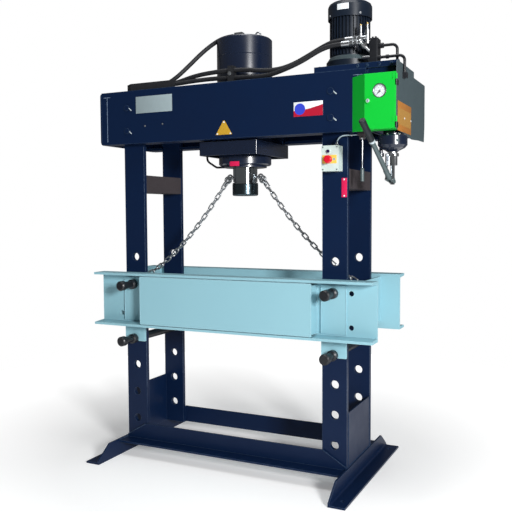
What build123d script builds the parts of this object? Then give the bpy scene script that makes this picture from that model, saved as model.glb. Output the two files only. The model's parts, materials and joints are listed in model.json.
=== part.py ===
"""Workshop hydraulic press: twin-plate H-frame, pinned table, sliding cylinder, power unit and hand pump.

Millimetres. X runs along the beam, Y from front (negative) to back, Z up from the floor.
The origin is on the floor, midway between the four anchor holes of the feet.
"""
from build123d import *
import math
import os

# Driving dimensions of the side frames
CLEAR_WIDTH = 1100.0
COLUMN_WIDTH = 135.0
COLUMN_THICK = 25.0
FRAME_HALF_DEPTH = 214.0
COLUMN_BOTTOM = 78.0
COLUMN_TOP = 2098.0
PIN_PITCH = 160.0
PIN_HOLE_TOP = 1167.0
PIN_HOLE_COUNT = 7
PIN_RADIUS = 23.0
PIN_GAP = 0.3
GUSSET_TOP = 380.0
GUSSET_THICK = 8.0
TIE_HEIGHT = 100.0
TIE_BOTTOM = 1542.0
TIE_WALL = 6.0

# Feet and floor rails, cut from rolled angle
FOOT_HALF_LENGTH = 504.0
FOOT_LEG_HEIGHT = 95.0
FOOT_FLANGE = 88.0
ANGLE_THICK = 10.0
FOOT_BEVEL_START = 400.0
FOOT_TIP_HEIGHT = 22.0
ANCHOR_X = 734.0
ANCHOR_Y = 430.0
ANCHOR_RADIUS = 9.0
RAIL_HEIGHT = 100.0
RAIL_LEDGE = 98.0

# Upper beam
BEAM_HALF_LENGTH = 807.0
BEAM_HALF_DEPTH = 277.0
BEAM_BOTTOM = 1820.0
BEAM_TOP = 2120.0
BEAM_WEB = 12.0
BEAM_FLANGE_THICK = 14.0
BEAM_FLANGE_WIDTH = 100.0
END_CAP_LENGTH = 50.0
END_CAP_THICK = 10.0
BEAM_BEND = 22.0
BEAM_PIN_RADIUS = 16.0
BEAM_PIN_HEIGHTS = (1893.0, 2024.0)

# Table
TABLE_HALF_LENGTH = 847.0
TABLE_BOTTOM = 768.0
TABLE_TOP = 1076.0
TABLE_WEB_Y = 215.0
TABLE_WEB = 10.0
TABLE_FLANGE = 16.0
TABLE_DEPTH = 98.0
DOUBLER_THICK = 8.0
TONGUE_THICK = 16.0
TONGUE_BOTTOM = 671.0
COVER_HALF_LENGTH = 525.0
COVER_THICK = 8.0
SPREADER_X = 728.0
SPREADER_THICK = 10.0
WEB_HOLE_X = 711.0
WEB_HOLE_RADIUS = 14.0
WEB_HOLE_HEIGHTS = (832.0, 1007.0)

# Table pins: two through the table webs, two under the tongues
PIN_HEIGHT_UPPER = PIN_HOLE_TOP - PIN_PITCH
PIN_HEIGHT_LOWER = PIN_HOLE_TOP - 3 * PIN_PITCH
PIN_FRONT = -374.0
PIN_BACK = 246.0
PIN_KNOB_RADIUS = 28.0

# Cylinder and its carriage
BARREL_RADIUS = 157.0
BARREL_LOWER_RADIUS = 150.0
BORE_RADIUS = 110.0
ROD_RADIUS = 70.0
BARREL_BOTTOM = 1690.0
BARREL_SEAM = 2295.0
CAP_TOP = 2398.0
GLAND_TOP = 1765.0
PISTON_TOP = 2290.0
PISTON_HEIGHT = 85.0
ROD_BOTTOM = 1592.0
HEAD_TOP = 1586.0
HEAD_BOTTOM = 1518.0
HEAD_RADIUS = 74.0
CARRIAGE_HALF_X = 178.0
CARRIAGE_HALF_Y = 217.0
CARRIAGE_BOTTOM = 1738.0
CARRIAGE_TOP = 1812.0
CARRIAGE_WALL = 16.0
CARRIAGE_PLATE = 30.0
CARRIAGE_BOLT_X = 140.0
CARRIAGE_BOLT_Y = 160.0
RUNNING_GAP = 0.05
EYE_HEIGHT = 1625.0
EYE_X = 98.0

# Lifting chains
CHAIN_TOP = (126.0, 1592.0)
CHAIN_FOOT = (702.0, 1030.0)
CHAIN_SAG = 66.0
LINK_WIRE = 4.0
LINK_PITCH = 36.5
LINK_INNER_WIDTH = 13.0

# Power unit at the right end of the beam
LID_LEFT = 529.0
LID_RIGHT = 963.0
LID_END = 958.0
LID_CUT = 946.0
LID_BACK = 34.0
LID_TOP = 2147.0
TANK_HALF_DEPTH = 262.0
TANK_BOTTOM = 1826.0
TANK_WALL = 5.0
TANK_TOP = 2103.0
MOTOR_X = 657.0
MOTOR_Y = -95.0
MOTOR_RADIUS = 94.0
MOTOR_FIN_RADIUS = 104.0
MOTOR_FIN_COUNT = 36
MOTOR_FLANGE_RADIUS = 121.0
MOTOR_FLANGE_TOP = 2190.0
MOTOR_BODY_BOTTOM = 2213.0
MOTOR_BODY_TOP = 2420.0
COWL_RADIUS = 113.0
COWL_TOP = 2492.0
GRILLE_RADIUS = 74.0
BLOCK_X = (802.0, 841.0)
BLOCK_Y = (-232.0, -168.0)
BLOCK_TOP = 2272.0
SIDE_PLATE_THICK = 3.0

# Gauge cabinet
CABINET_LEFT = 731.0
CABINET_FRONT = -338.0
CABINET_CORNER = 808.0
CABINET_BOTTOM = 1815.0
CABINET_TOP = 2080.0
SHEET = 2.5
DOOR_LEFT = 812.0
DOOR_RIGHT = 960.0
HINGE_X = 966.5
HINGE_Y = -342.0
HINGE_HEIGHTS = (1845.0, 2044.0)
HINGE_LEAF = 26.0
GAUGE_X = 884.0
GAUGE_Z = 1996.0
GAUGE_RADIUS = 33.0
LOCK_X = 829.0
LOCK_Z = 1951.0

# Hand pump below the unit
PUMP_X = 912.0
PUMP_Y = -200.0
PUMP_RADIUS = 72.0
LEVER_PIN_Z = 1571.0
LEVER_PIN_RADIUS = 6.0
LEVER_LEAN = 10.85
LEVER_TILT = 48.5
LEVER_LENGTH = 389.0
LEVER_GRIP = 130.0
VALVE_LEVER_X = 765.0
VALVE_LEVER_Y = -222.0
VALVE_LEVER_Z = 1790.0

# Control box on the right front column
BOX_X = (569.0, 659.0)
BOX_FRONT = -279.0
BOX_Z = (1627.0, 1755.0)
STOP_X = 614.0
STOP_Z = 1684.0
START_X = 606.0
START_Z = 1726.0

# Hoses and cable
HOSE_RADIUS = 12.0
CABLE_RADIUS = 3.5
TRAY_LEFT = -640.0
TRAY_RIGHT = -300.0
TRAY_FRONT = -268.0
TRAY_BACK = -179.0
TRAY_WALL = 3.0
TRAY_HEIGHT = 40.0
UPPER_FITTING = (676.0, -222.0, 2279.0)
LOWER_FITTING = (662.0, -240.0, 2256.0)
ELBOW_START = (758.0, -240.0, 2256.0)
ELBOW_END = (812.0, -214.0, 2200.0)
RETURN_X = 930.0
RETURN_Y = -190.0
RETURN_Z = 2240.0
PRESSURE_Y = -220.0
PRESSURE_X = 974.0
PRESSURE_Z = 2177.0
PORT_Z = 2413.0
CLAMP_HOLES = ((-222.0, 2188.0), (-222.0, 2149.0))
HOSES = (
    ("hose_upper", (
        (676, -222, 2279),
        (614, -222, 2279),
        (545, -215, 2257),
        (468, -208, 2223),
        (385, -205, 2189),
        (300, -206, 2170),
        (210, -214, 2172),
        (120, -221, 2184),
        (30, -222, 2189),
        (-70, -222, 2188),
        (-185, -222, 2180),
        (-285, -223, 2158),
        (-380, -224, 2138),
        (-480, -223, 2136.5),
        (-575, -225, 2137),
    )),
    ("hose_lower", (
        (662, -240, 2256),
        (604, -240, 2256),
        (534, -241, 2235),
        (450, -241, 2193),
        (360, -240, 2163),
        (270, -234, 2141),
        (185, -226, 2140),
        (100, -222, 2147),
        (20, -222, 2149),
        (-75, -223, 2153),
        (-180, -237, 2149),
        (-285, -248, 2140),
        (-385, -251, 2137),
        (-485, -249.5, 2137),
        (-580, -251, 2137),
    )),
    ("hose_port", (
        (-40.5, -60, 2413),
        (-98, -61, 2411),
        (-158, -71, 2384),
        (-222, -100, 2330),
        (-290, -142, 2250),
        (-350, -178, 2185),
        (-425, -196, 2143),
        (-505, -197.5, 2136.5),
        (-582, -196.5, 2137),
    )),
)
CABLE_POINTS = (
    (640, -246, 1755),
    (640, -246, 1776),
    (650.3, -244.1, 1794.2),
    (668.2, -240.7, 1804.7),
    (707, -233, 1806),
    (745.5, -228, 1806),
)

INNER_X = CLEAR_WIDTH / 2
OUTER_X = INNER_X + COLUMN_WIDTH
COLUMN_X = (INNER_X + OUTER_X) / 2
COLUMN_INNER_Y = FRAME_HALF_DEPTH - COLUMN_THICK
PIN_HOLE_RADIUS = PIN_RADIUS + PIN_GAP
BEAM_WEB_INSIDE = BEAM_HALF_DEPTH - BEAM_WEB
FLANGE_EDGE_Y = BEAM_HALF_DEPTH - BEAM_FLANGE_WIDTH

os.makedirs("parts", exist_ok=True)


def front_plane(y):
    """Plane seen from the front: local x is X, local y is Z, and an extrusion runs towards -Y."""
    return Plane(origin=(0, y, 0), x_dir=(1, 0, 0), z_dir=(0, -1, 0))


def side_plane(x):
    """Plane seen from the right: local x is Y, local y is Z, and an extrusion runs towards +X."""
    return Plane(origin=(x, 0, 0), x_dir=(0, 1, 0), z_dir=(1, 0, 0))


def block(x_span, y_span, z_span, mode=Mode.ADD):
    """Cuboid between two values on each axis."""
    centre = tuple((span[0] + span[1]) / 2 for span in (x_span, y_span, z_span))
    with Locations(centre):
        Box(x_span[1] - x_span[0], y_span[1] - y_span[0], z_span[1] - z_span[0], mode=mode)


def round_z(x, y, z_span, radius, mode=Mode.ADD):
    """Upright cylinder."""
    with Locations((x, y, (z_span[0] + z_span[1]) / 2)):
        Cylinder(radius, z_span[1] - z_span[0], mode=mode)


def round_y(x, z, y_span, radius, mode=Mode.ADD):
    """Cylinder along Y."""
    with Locations(Location((x, (y_span[0] + y_span[1]) / 2, z), (90, 0, 0))):
        Cylinder(radius, y_span[1] - y_span[0], mode=mode)


def round_x(y, z, x_span, radius, mode=Mode.ADD):
    """Cylinder along X."""
    with Locations(Location(((x_span[0] + x_span[1]) / 2, y, z), (0, 90, 0))):
        Cylinder(radius, x_span[1] - x_span[0], mode=mode)


def turned(profile, x=0.0, y=0.0):
    """Solid of revolution about an upright axis, from (radius, height) points."""
    plane = Plane(origin=(x, y, 0), x_dir=(1, 0, 0), z_dir=(0, -1, 0))
    with BuildSketch(plane) as half:
        with BuildLine():
            Polyline(*profile, close=True)
        make_face()
    revolve(half.sketch, axis=Axis((x, y, 0), (0, 0, 1)))


def save(builder, name):
    """Label a finished piece and write it."""
    builder.part.label = name
    export_step(builder.part, f"parts/{name}.step")


# Columns: flat bars with the row of table pin holes and two beam pin holes
for face, face_name in ((-1, "front"), (1, "rear")):
    with BuildPart() as columns:
        with BuildSketch(front_plane(max(face * FRAME_HALF_DEPTH, face * COLUMN_INNER_Y))):
            with Locations((-COLUMN_X, 0), (COLUMN_X, 0)):
                with Locations((0, (COLUMN_BOTTOM + COLUMN_TOP) / 2)):
                    Rectangle(COLUMN_WIDTH, COLUMN_TOP - COLUMN_BOTTOM)
                for index in range(PIN_HOLE_COUNT):
                    with Locations((0, PIN_HOLE_TOP - index * PIN_PITCH)):
                        Circle(PIN_HOLE_RADIUS, mode=Mode.SUBTRACT)
                for height in BEAM_PIN_HEIGHTS:
                    with Locations((0, height)):
                        Circle(BEAM_PIN_RADIUS + PIN_GAP, mode=Mode.SUBTRACT)
        extrude(amount=COLUMN_THICK)
    save(columns, f"columns_{face_name}")

with BuildPart() as feet:
    for side in (-1, 1):
        leg_inner = side * OUTER_X
        with BuildSketch(side_plane(min(leg_inner, leg_inner + side * ANGLE_THICK))):
            with BuildLine():
                Polyline(
                    (-FOOT_HALF_LENGTH, 0),
                    (FOOT_HALF_LENGTH, 0),
                    (FOOT_HALF_LENGTH, FOOT_TIP_HEIGHT),
                    (FOOT_BEVEL_START, FOOT_LEG_HEIGHT),
                    (-FOOT_BEVEL_START, FOOT_LEG_HEIGHT),
                    (-FOOT_HALF_LENGTH, FOOT_TIP_HEIGHT),
                    close=True,
                )
            make_face()
        extrude(amount=ANGLE_THICK)
        with BuildSketch(Plane.XY):
            with Locations((side * (OUTER_X + FOOT_FLANGE / 2), 0)):
                Rectangle(FOOT_FLANGE, 2 * FOOT_HALF_LENGTH)
            with Locations((side * ANCHOR_X, ANCHOR_Y), (side * ANCHOR_X, -ANCHOR_Y)):
                Circle(ANCHOR_RADIUS, mode=Mode.SUBTRACT)
        extrude(amount=ANGLE_THICK)
    root = feet.edges().filter_by(Axis.Y).filter_by_position(Axis.Z, ANGLE_THICK - 0.1, ANGLE_THICK + 0.1)
    inner_root = [edge for edge in root if abs(abs(edge.center().X) - OUTER_X - ANGLE_THICK) < 0.1]
    fillet(inner_root, radius=9)
save(feet, "feet")

with BuildPart() as gusset_plates:
    for side in (-1, 1):
        span = sorted((side * OUTER_X, side * (OUTER_X - GUSSET_THICK)))
        block(span, (-COLUMN_INNER_Y, COLUMN_INNER_Y), (COLUMN_BOTTOM, GUSSET_TOP))
save(gusset_plates, "gusset_plates")

with BuildPart() as upper_ties:
    for side in (-1, 1):
        span = (min(side * INNER_X, side * OUTER_X), max(side * INNER_X, side * OUTER_X))
        core = (span[0] + TIE_WALL, span[1] - TIE_WALL)
        depth = (-COLUMN_INNER_Y, COLUMN_INNER_Y)
        block(span, depth, (TIE_BOTTOM, TIE_BOTTOM + TIE_HEIGHT))
        block(core, depth, (TIE_BOTTOM + TIE_WALL, TIE_BOTTOM + TIE_HEIGHT - TIE_WALL), Mode.SUBTRACT)
save(upper_ties, "upper_ties")

# Floor rails: angle with its ledge outwards, the upright leg bevelled off over the columns
with BuildPart() as floor_rails:
    for face in (-1, 1):
        back = face * FRAME_HALF_DEPTH
        front = face * (FRAME_HALF_DEPTH + ANGLE_THICK)
        with BuildSketch(front_plane(max(back, front))):
            with BuildLine():
                Polyline(
                    (-OUTER_X, COLUMN_BOTTOM),
                    (OUTER_X, COLUMN_BOTTOM),
                    (OUTER_X, COLUMN_BOTTOM + ANGLE_THICK + 12),
                    (INNER_X, COLUMN_BOTTOM + RAIL_HEIGHT),
                    (-INNER_X, COLUMN_BOTTOM + RAIL_HEIGHT),
                    (-OUTER_X, COLUMN_BOTTOM + ANGLE_THICK + 12),
                    close=True,
                )
            make_face()
        extrude(amount=ANGLE_THICK)
        edge = face * (FRAME_HALF_DEPTH + RAIL_LEDGE)
        ledge = (min(back, edge), max(back, edge))
        block((-OUTER_X, OUTER_X), ledge, (COLUMN_BOTTOM, COLUMN_BOTTOM + ANGLE_THICK))
save(floor_rails, "floor_rails")

# Upper beam: two folded channels, flanges inwards and notched round the columns
for face, face_name in ((-1, "front"), (1, "rear")):
    with BuildPart() as beam:
        with BuildSketch(side_plane(-BEAM_HALF_LENGTH + END_CAP_THICK)):
            with BuildLine():
                Polyline(
                    (face * BEAM_HALF_DEPTH, BEAM_BOTTOM),
                    (face * BEAM_HALF_DEPTH, BEAM_TOP),
                    (face * FLANGE_EDGE_Y, BEAM_TOP),
                    (face * FLANGE_EDGE_Y, BEAM_TOP - BEAM_FLANGE_THICK),
                    (face * BEAM_WEB_INSIDE, BEAM_TOP - BEAM_FLANGE_THICK),
                    (face * BEAM_WEB_INSIDE, BEAM_BOTTOM + BEAM_FLANGE_THICK),
                    (face * FLANGE_EDGE_Y, BEAM_BOTTOM + BEAM_FLANGE_THICK),
                    (face * FLANGE_EDGE_Y, BEAM_BOTTOM),
                    close=True,
                )
            profile_face = make_face()
            bend = [v for v in profile_face.vertices() if abs(abs(v.Y) - BEAM_HALF_DEPTH) < 0.1]
            fillet(bend, radius=BEAM_BEND)
        extrude(amount=2 * (BEAM_HALF_LENGTH - END_CAP_THICK))
        for side in (-1, 1):
            low, high = sorted((side * (INNER_X - 1), side * (OUTER_X + 1)))
            notch = sorted((face * (FLANGE_EDGE_Y - 1), face * (FRAME_HALF_DEPTH + 0.5)))
            block((low, high), notch, (BEAM_BOTTOM - 1, BEAM_BOTTOM + BEAM_FLANGE_THICK + 1), Mode.SUBTRACT)
            web = sorted((face * (BEAM_WEB_INSIDE - 1), face * (BEAM_HALF_DEPTH + 1)))
            for height in BEAM_PIN_HEIGHTS:
                round_y(side * COLUMN_X, height, web, BEAM_PIN_RADIUS + PIN_GAP, Mode.SUBTRACT)
    save(beam, f"beam_{face_name}")

with BuildPart() as beam_end_caps:
    for side in (-1, 1):
        end = sorted((side * BEAM_HALF_LENGTH, side * (BEAM_HALF_LENGTH - END_CAP_THICK)))
        block(end, (-BEAM_HALF_DEPTH, BEAM_HALF_DEPTH), (BEAM_BOTTOM, BEAM_TOP))
    fillet(beam_end_caps.edges().filter_by(Axis.X), radius=BEAM_BEND - 2)
save(beam_end_caps, "beam_end_caps")

# Pins that carry the beam on the columns: collar between web and column, head proud of the web
with BuildPart() as beam_pins:
    for face in (-1, 1):
        shank = sorted((face * (COLUMN_INNER_Y - 4), face * (BEAM_HALF_DEPTH + 7)))
        collar = sorted((face * FRAME_HALF_DEPTH, face * BEAM_WEB_INSIDE))
        for side in (-1, 1):
            for height in BEAM_PIN_HEIGHTS:
                round_y(side * COLUMN_X, height, shank, BEAM_PIN_RADIUS)
                round_y(side * COLUMN_X, height, collar, BEAM_PIN_RADIUS + 14)
save(beam_pins, "beam_pins")

# Table: two rolled channels with flanges outwards
for face, face_name in ((-1, "front"), (1, "rear")):
    web_in = face * TABLE_WEB_Y
    web_out = face * (TABLE_WEB_Y + TABLE_WEB)
    tip = face * (TABLE_WEB_Y + TABLE_DEPTH)
    with BuildPart() as channel:
        with BuildSketch(side_plane(-TABLE_HALF_LENGTH)):
            with BuildLine():
                Polyline(
                    (web_in, TABLE_BOTTOM),
                    (tip, TABLE_BOTTOM),
                    (tip, TABLE_BOTTOM + TABLE_FLANGE - 3),
                    (web_out, TABLE_BOTTOM + TABLE_FLANGE + 3),
                    (web_out, TABLE_TOP - TABLE_FLANGE - 3),
                    (tip, TABLE_TOP - TABLE_FLANGE + 3),
                    (tip, TABLE_TOP),
                    (web_in, TABLE_TOP),
                    close=True,
                )
            section = make_face()
            inner = [v for v in section.vertices() if abs(v.Y - web_out) < 0.1]
            fillet(inner, radius=9)
            toes = [v for v in section.vertices() if abs(v.Y - tip) < 0.1]
            toes = [v for v in toes if TABLE_BOTTOM + 1 < v.Z < TABLE_TOP - 1]
            fillet(toes, radius=6)
        extrude(amount=2 * TABLE_HALF_LENGTH)
        web_cut = sorted((face * (TABLE_WEB_Y - 1), face * (TABLE_WEB_Y + TABLE_WEB + 1)))
        for side in (-1, 1):
            round_y(side * COLUMN_X, PIN_HEIGHT_UPPER, web_cut, PIN_HOLE_RADIUS, Mode.SUBTRACT)
            for height in WEB_HOLE_HEIGHTS:
                round_y(side * WEB_HOLE_X, height, web_cut, WEB_HOLE_RADIUS, Mode.SUBTRACT)
    save(channel, f"table_beam_{face_name}")

# Wear plates on the webs, between the flanges, round the upper pin holes
with BuildPart() as table_doublers:
    for face in (-1, 1):
        near = face * (TABLE_WEB_Y + TABLE_WEB)
        far = face * (TABLE_WEB_Y + TABLE_WEB + DOUBLER_THICK)
        with BuildSketch(front_plane(max(near, far))):
            centre_z = (TABLE_BOTTOM + TABLE_TOP) / 2
            with Locations((-COLUMN_X, centre_z), (COLUMN_X, centre_z)):
                Rectangle(COLUMN_WIDTH, TABLE_TOP - TABLE_BOTTOM - 2 * TABLE_FLANGE - 24)
            with Locations((-COLUMN_X, PIN_HEIGHT_UPPER), (COLUMN_X, PIN_HEIGHT_UPPER)):
                Circle(PIN_HOLE_RADIUS, mode=Mode.SUBTRACT)
        extrude(amount=DOUBLER_THICK)
save(table_doublers, "table_doublers")

# Notched tongues below the channels that straddle the lower pins
with BuildPart() as table_tongues:
    for face in (-1, 1):
        tongue_ends = (face * TABLE_WEB_Y, face * (TABLE_WEB_Y + TONGUE_THICK))
        with BuildSketch(front_plane(max(tongue_ends))):
            middle = (TABLE_BOTTOM + TONGUE_BOTTOM) / 2
            with Locations((-COLUMN_X, middle), (COLUMN_X, middle)):
                Rectangle(COLUMN_WIDTH, TABLE_BOTTOM - TONGUE_BOTTOM)
            with Locations((-COLUMN_X, PIN_HEIGHT_LOWER), (COLUMN_X, PIN_HEIGHT_LOWER)):
                Circle(PIN_HOLE_RADIUS, mode=Mode.SUBTRACT)
            with Locations((-COLUMN_X, TONGUE_BOTTOM - 4), (COLUMN_X, TONGUE_BOTTOM - 4)):
                slot_height = 2 * (PIN_HEIGHT_LOWER - TONGUE_BOTTOM + 4)
                Rectangle(2 * PIN_HOLE_RADIUS, slot_height, mode=Mode.SUBTRACT)
        extrude(amount=TONGUE_THICK)
save(table_tongues, "table_tongues")

# Covers welded over the middle of the channels, returned to the web at each end
with BuildPart() as table_covers:
    low, high = TABLE_BOTTOM + TABLE_FLANGE + 3, TABLE_TOP - TABLE_FLANGE - 3
    for face in (-1, 1):
        web_face = face * (TABLE_WEB_Y + TABLE_WEB)
        cover_face = face * (TABLE_WEB_Y + TABLE_DEPTH)
        cover_back = face * (TABLE_WEB_Y + TABLE_DEPTH - COVER_THICK)
        block((-COVER_HALF_LENGTH, COVER_HALF_LENGTH), sorted((cover_face, cover_back)), (low, high))
        for side in (-1, 1):
            end = sorted((side * COVER_HALF_LENGTH, side * (COVER_HALF_LENGTH - COVER_THICK)))
            block(end, sorted((cover_face, web_face)), (low + 9, high - 9))
save(table_covers, "table_covers")

with BuildPart() as table_spreaders:
    for side in (-1, 1):
        plate = sorted((side * SPREADER_X, side * (SPREADER_X + SPREADER_THICK)))
        block(plate, (-TABLE_WEB_Y, TABLE_WEB_Y), (TABLE_BOTTOM + 40, TABLE_TOP - 16))
        eye_x = side * (SPREADER_X - 26)
        round_x(0, CHAIN_FOOT[1], sorted((side * (SPREADER_X - 12), side * SPREADER_X)), 7)
        with Locations(Location((eye_x + side * 2, 0, CHAIN_FOOT[1]), (90, 0, 0))):
            Torus(14, 4.5)
save(table_spreaders, "table_spreaders")


def table_pin(side, height):
    """Turned pin: knob, neck, collar and long shank with a tapered tip."""
    profile = [
        (0, PIN_FRONT),
        (PIN_KNOB_RADIUS - 6, PIN_FRONT),
        (PIN_KNOB_RADIUS, PIN_FRONT + 6),
        (PIN_KNOB_RADIUS, PIN_FRONT + 34),
        (PIN_RADIUS - 3, PIN_FRONT + 42),
        (PIN_RADIUS - 3, -270),
        (PIN_KNOB_RADIUS, -264),
        (PIN_KNOB_RADIUS, -238),
        (PIN_RADIUS, -238),
        (PIN_RADIUS, PIN_BACK - 8),
        (PIN_RADIUS - 6, PIN_BACK),
        (0, PIN_BACK),
    ]
    plane = Plane(origin=(side * COLUMN_X, 0, height), x_dir=(1, 0, 0), z_dir=(0, 0, 1))
    with BuildPart() as pin:
        with BuildSketch(plane):
            with BuildLine():
                Polyline(*profile, close=True)
            make_face()
        revolve(axis=Axis((side * COLUMN_X, 0, height), (0, 1, 0)))
    return pin


for height, level in ((PIN_HEIGHT_UPPER, "upper"), (PIN_HEIGHT_LOWER, "lower")):
    for side, side_name in ((-1, "left"), (1, "right")):
        save(table_pin(side, height), f"pin_{level}_{side_name}")

# Carriage: plate with a skirt under the beam, hung by four hooks on the beam's lower flanges
with BuildPart() as carriage:
    whole_x = (-CARRIAGE_HALF_X, CARRIAGE_HALF_X)
    whole_y = (-CARRIAGE_HALF_Y, CARRIAGE_HALF_Y)
    block(whole_x, whole_y, (CARRIAGE_BOTTOM, CARRIAGE_TOP))
    fillet(carriage.edges().filter_by(Axis.Z), radius=8)
    room_x = (-CARRIAGE_HALF_X + CARRIAGE_WALL, CARRIAGE_HALF_X - CARRIAGE_WALL)
    room_y = (-CARRIAGE_HALF_Y + CARRIAGE_WALL, CARRIAGE_HALF_Y - CARRIAGE_WALL)
    block(room_x, room_y, (CARRIAGE_BOTTOM - 1, CARRIAGE_TOP - CARRIAGE_PLATE), Mode.SUBTRACT)
    round_z(0, 0, (CARRIAGE_BOTTOM - 2, CARRIAGE_TOP + 1), BARREL_LOWER_RADIUS, Mode.SUBTRACT)
    for side in (-1, 1):
        for face in (-1, 1):
            hole = (CARRIAGE_TOP - CARRIAGE_PLATE - 1, CARRIAGE_TOP + 1)
            round_z(side * CARRIAGE_BOLT_X, face * CARRIAGE_BOLT_Y, hole, 10, Mode.SUBTRACT)
save(carriage, "carriage")

HOOK_X = (96.0, 172.0)
HOOK_Y = (138.0, 172.0)
HOOK_REACH = 214.0
HOOK_SEAT = BEAM_BOTTOM + BEAM_FLANGE_THICK
with BuildPart() as carriage_hangers:
    for side in (-1, 1):
        for face in (-1, 1):
            x_span = sorted((side * HOOK_X[0], side * HOOK_X[1]))
            block(x_span, sorted((face * HOOK_Y[0], face * HOOK_Y[1])), (CARRIAGE_TOP, HOOK_SEAT + 40))
            block(x_span, sorted((face * HOOK_Y[0], face * HOOK_REACH)), (HOOK_SEAT + 6, HOOK_SEAT + 40))
            pad_y = sorted((face * (FLANGE_EDGE_Y + 3), face * HOOK_REACH))
            block(x_span, pad_y, (HOOK_SEAT, HOOK_SEAT + 6))
            x, y = side * CARRIAGE_BOLT_X, face * CARRIAGE_BOLT_Y
            round_z(x, y, (CARRIAGE_TOP - CARRIAGE_PLATE, CARRIAGE_TOP), 10)
            with BuildSketch(Plane.XY.offset(CARRIAGE_TOP - CARRIAGE_PLATE - 14)):
                with Locations((x, y)):
                    RegularPolygon(17, 6)
            extrude(amount=14)
    round_z(0, 0, (CARRIAGE_TOP - 1, HOOK_SEAT + 41), BARREL_RADIUS, Mode.SUBTRACT)
save(carriage_hangers, "carriage_hangers")

with BuildPart() as barrel:
    turned([
        (BORE_RADIUS, BARREL_BOTTOM),
        (BARREL_LOWER_RADIUS - 6, BARREL_BOTTOM),
        (BARREL_LOWER_RADIUS, BARREL_BOTTOM + 6),
        (BARREL_LOWER_RADIUS, CARRIAGE_TOP),
        (BARREL_RADIUS, CARRIAGE_TOP),
        (BARREL_RADIUS, BARREL_SEAM - 2),
        (BARREL_RADIUS - 2, BARREL_SEAM),
        (BORE_RADIUS, BARREL_SEAM),
    ])
save(barrel, "cylinder_barrel")

with BuildPart() as cylinder_cap:
    turned([
        (0, BARREL_SEAM),
        (BARREL_RADIUS - 2, BARREL_SEAM),
        (BARREL_RADIUS, BARREL_SEAM + 2),
        (BARREL_RADIUS, CAP_TOP - 8),
        (BARREL_RADIUS - 8, CAP_TOP),
        (0, CAP_TOP),
    ])
save(cylinder_cap, "cylinder_cap")

with BuildPart() as gland:
    turned([
        (ROD_RADIUS + RUNNING_GAP, BARREL_BOTTOM - 12),
        (BORE_RADIUS + 14, BARREL_BOTTOM - 12),
        (BORE_RADIUS + 14, BARREL_BOTTOM),
        (BORE_RADIUS, BARREL_BOTTOM),
        (BORE_RADIUS, GLAND_TOP),
        (ROD_RADIUS + RUNNING_GAP, GLAND_TOP),
    ])
    block((-134, -112), (-42, -18), (BARREL_BOTTOM - 12, BARREL_BOTTOM))
save(gland, "rod_gland")

with BuildPart() as ram:
    piston_bottom = PISTON_TOP - PISTON_HEIGHT
    turned([
        (0, HEAD_TOP),
        (ROD_RADIUS + 3, HEAD_TOP),
        (ROD_RADIUS + 3, ROD_BOTTOM),
        (ROD_RADIUS - 5, ROD_BOTTOM),
        (ROD_RADIUS - 5, ROD_BOTTOM + 6),
        (ROD_RADIUS, ROD_BOTTOM + 6),
        (ROD_RADIUS, piston_bottom),
        (BORE_RADIUS - RUNNING_GAP, piston_bottom),
        (BORE_RADIUS - RUNNING_GAP, PISTON_TOP),
        (0, PISTON_TOP),
    ])
    for side in (-1, 1):
        round_x(0, EYE_HEIGHT, sorted((side * (ROD_RADIUS - 14), side * (ROD_RADIUS + 4))), 7, Mode.SUBTRACT)
save(ram, "ram")

with BuildPart() as press_head:
    turned([
        (0, HEAD_BOTTOM),
        (HEAD_RADIUS, HEAD_BOTTOM),
        (HEAD_RADIUS, HEAD_TOP),
        (0, HEAD_TOP),
    ])
    fillet(press_head.edges().group_by(Axis.Z)[0], radius=10)
    fillet(press_head.edges().group_by(Axis.Z)[-1], radius=4)
save(press_head, "press_head")

with BuildPart() as cap_fittings:
    round_z(86, 0, (CAP_TOP, CAP_TOP + 6), 14)
    with Locations(Location((86, 0, CAP_TOP + 20), (90, 0, 0))):
        Torus(15, 4.5)
    block((-26, 22), (-76, -44), (CAP_TOP, PORT_Z + 14))
    round_x(-60, PORT_Z, (-40, -26), 12)
save(cap_fittings, "cap_fittings")


def chain_point(fraction):
    """Point on the sagging line of a chain, as (x, z)."""
    x = CHAIN_TOP[0] + fraction * (CHAIN_FOOT[0] - CHAIN_TOP[0])
    z = CHAIN_TOP[1] + fraction * (CHAIN_FOOT[1] - CHAIN_TOP[1])
    return x, z - 4 * CHAIN_SAG * fraction * (1 - fraction)


def chain_stations():
    """Link centres and slopes along the chain, at equal spacing."""
    samples = [chain_point(i / 400) for i in range(401)]
    lengths = [0.0]
    for before, after in zip(samples, samples[1:]):
        lengths.append(lengths[-1] + math.dist(before, after))
    count = int(lengths[-1] // LINK_PITCH)
    pitch = lengths[-1] / count
    stations = []
    for index in range(count):
        ends = []
        for target in (index * pitch, (index + 1) * pitch):
            nearest = min(range(401), key=lambda i: abs(lengths[i] - target))
            ends.append(samples[nearest])
        middle = ((ends[0][0] + ends[1][0]) / 2, (ends[0][1] + ends[1][1]) / 2)
        slope = math.degrees(math.atan2(ends[1][1] - ends[0][1], ends[1][0] - ends[0][0]))
        stations.append((middle, slope, pitch))
    return stations


def chain_link(inner_length):
    """Round-wire link lying along X, flat in the XY plane."""
    bend = LINK_INNER_WIDTH / 2 + LINK_WIRE
    straight = inner_length + 2 * LINK_WIRE - 2 * bend
    with BuildPart() as link:
        with BuildLine() as path:
            Line((-straight / 2, bend), (straight / 2, bend))
            RadiusArc((straight / 2, bend), (straight / 2, -bend), bend)
            Line((straight / 2, -bend), (-straight / 2, -bend))
            RadiusArc((-straight / 2, -bend), (-straight / 2, bend), bend)
        with BuildSketch(Plane(origin=(0, bend, 0), z_dir=(1, 0, 0))):
            Circle(LINK_WIRE)
        sweep(path=path.wire())
    return link.part


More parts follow.
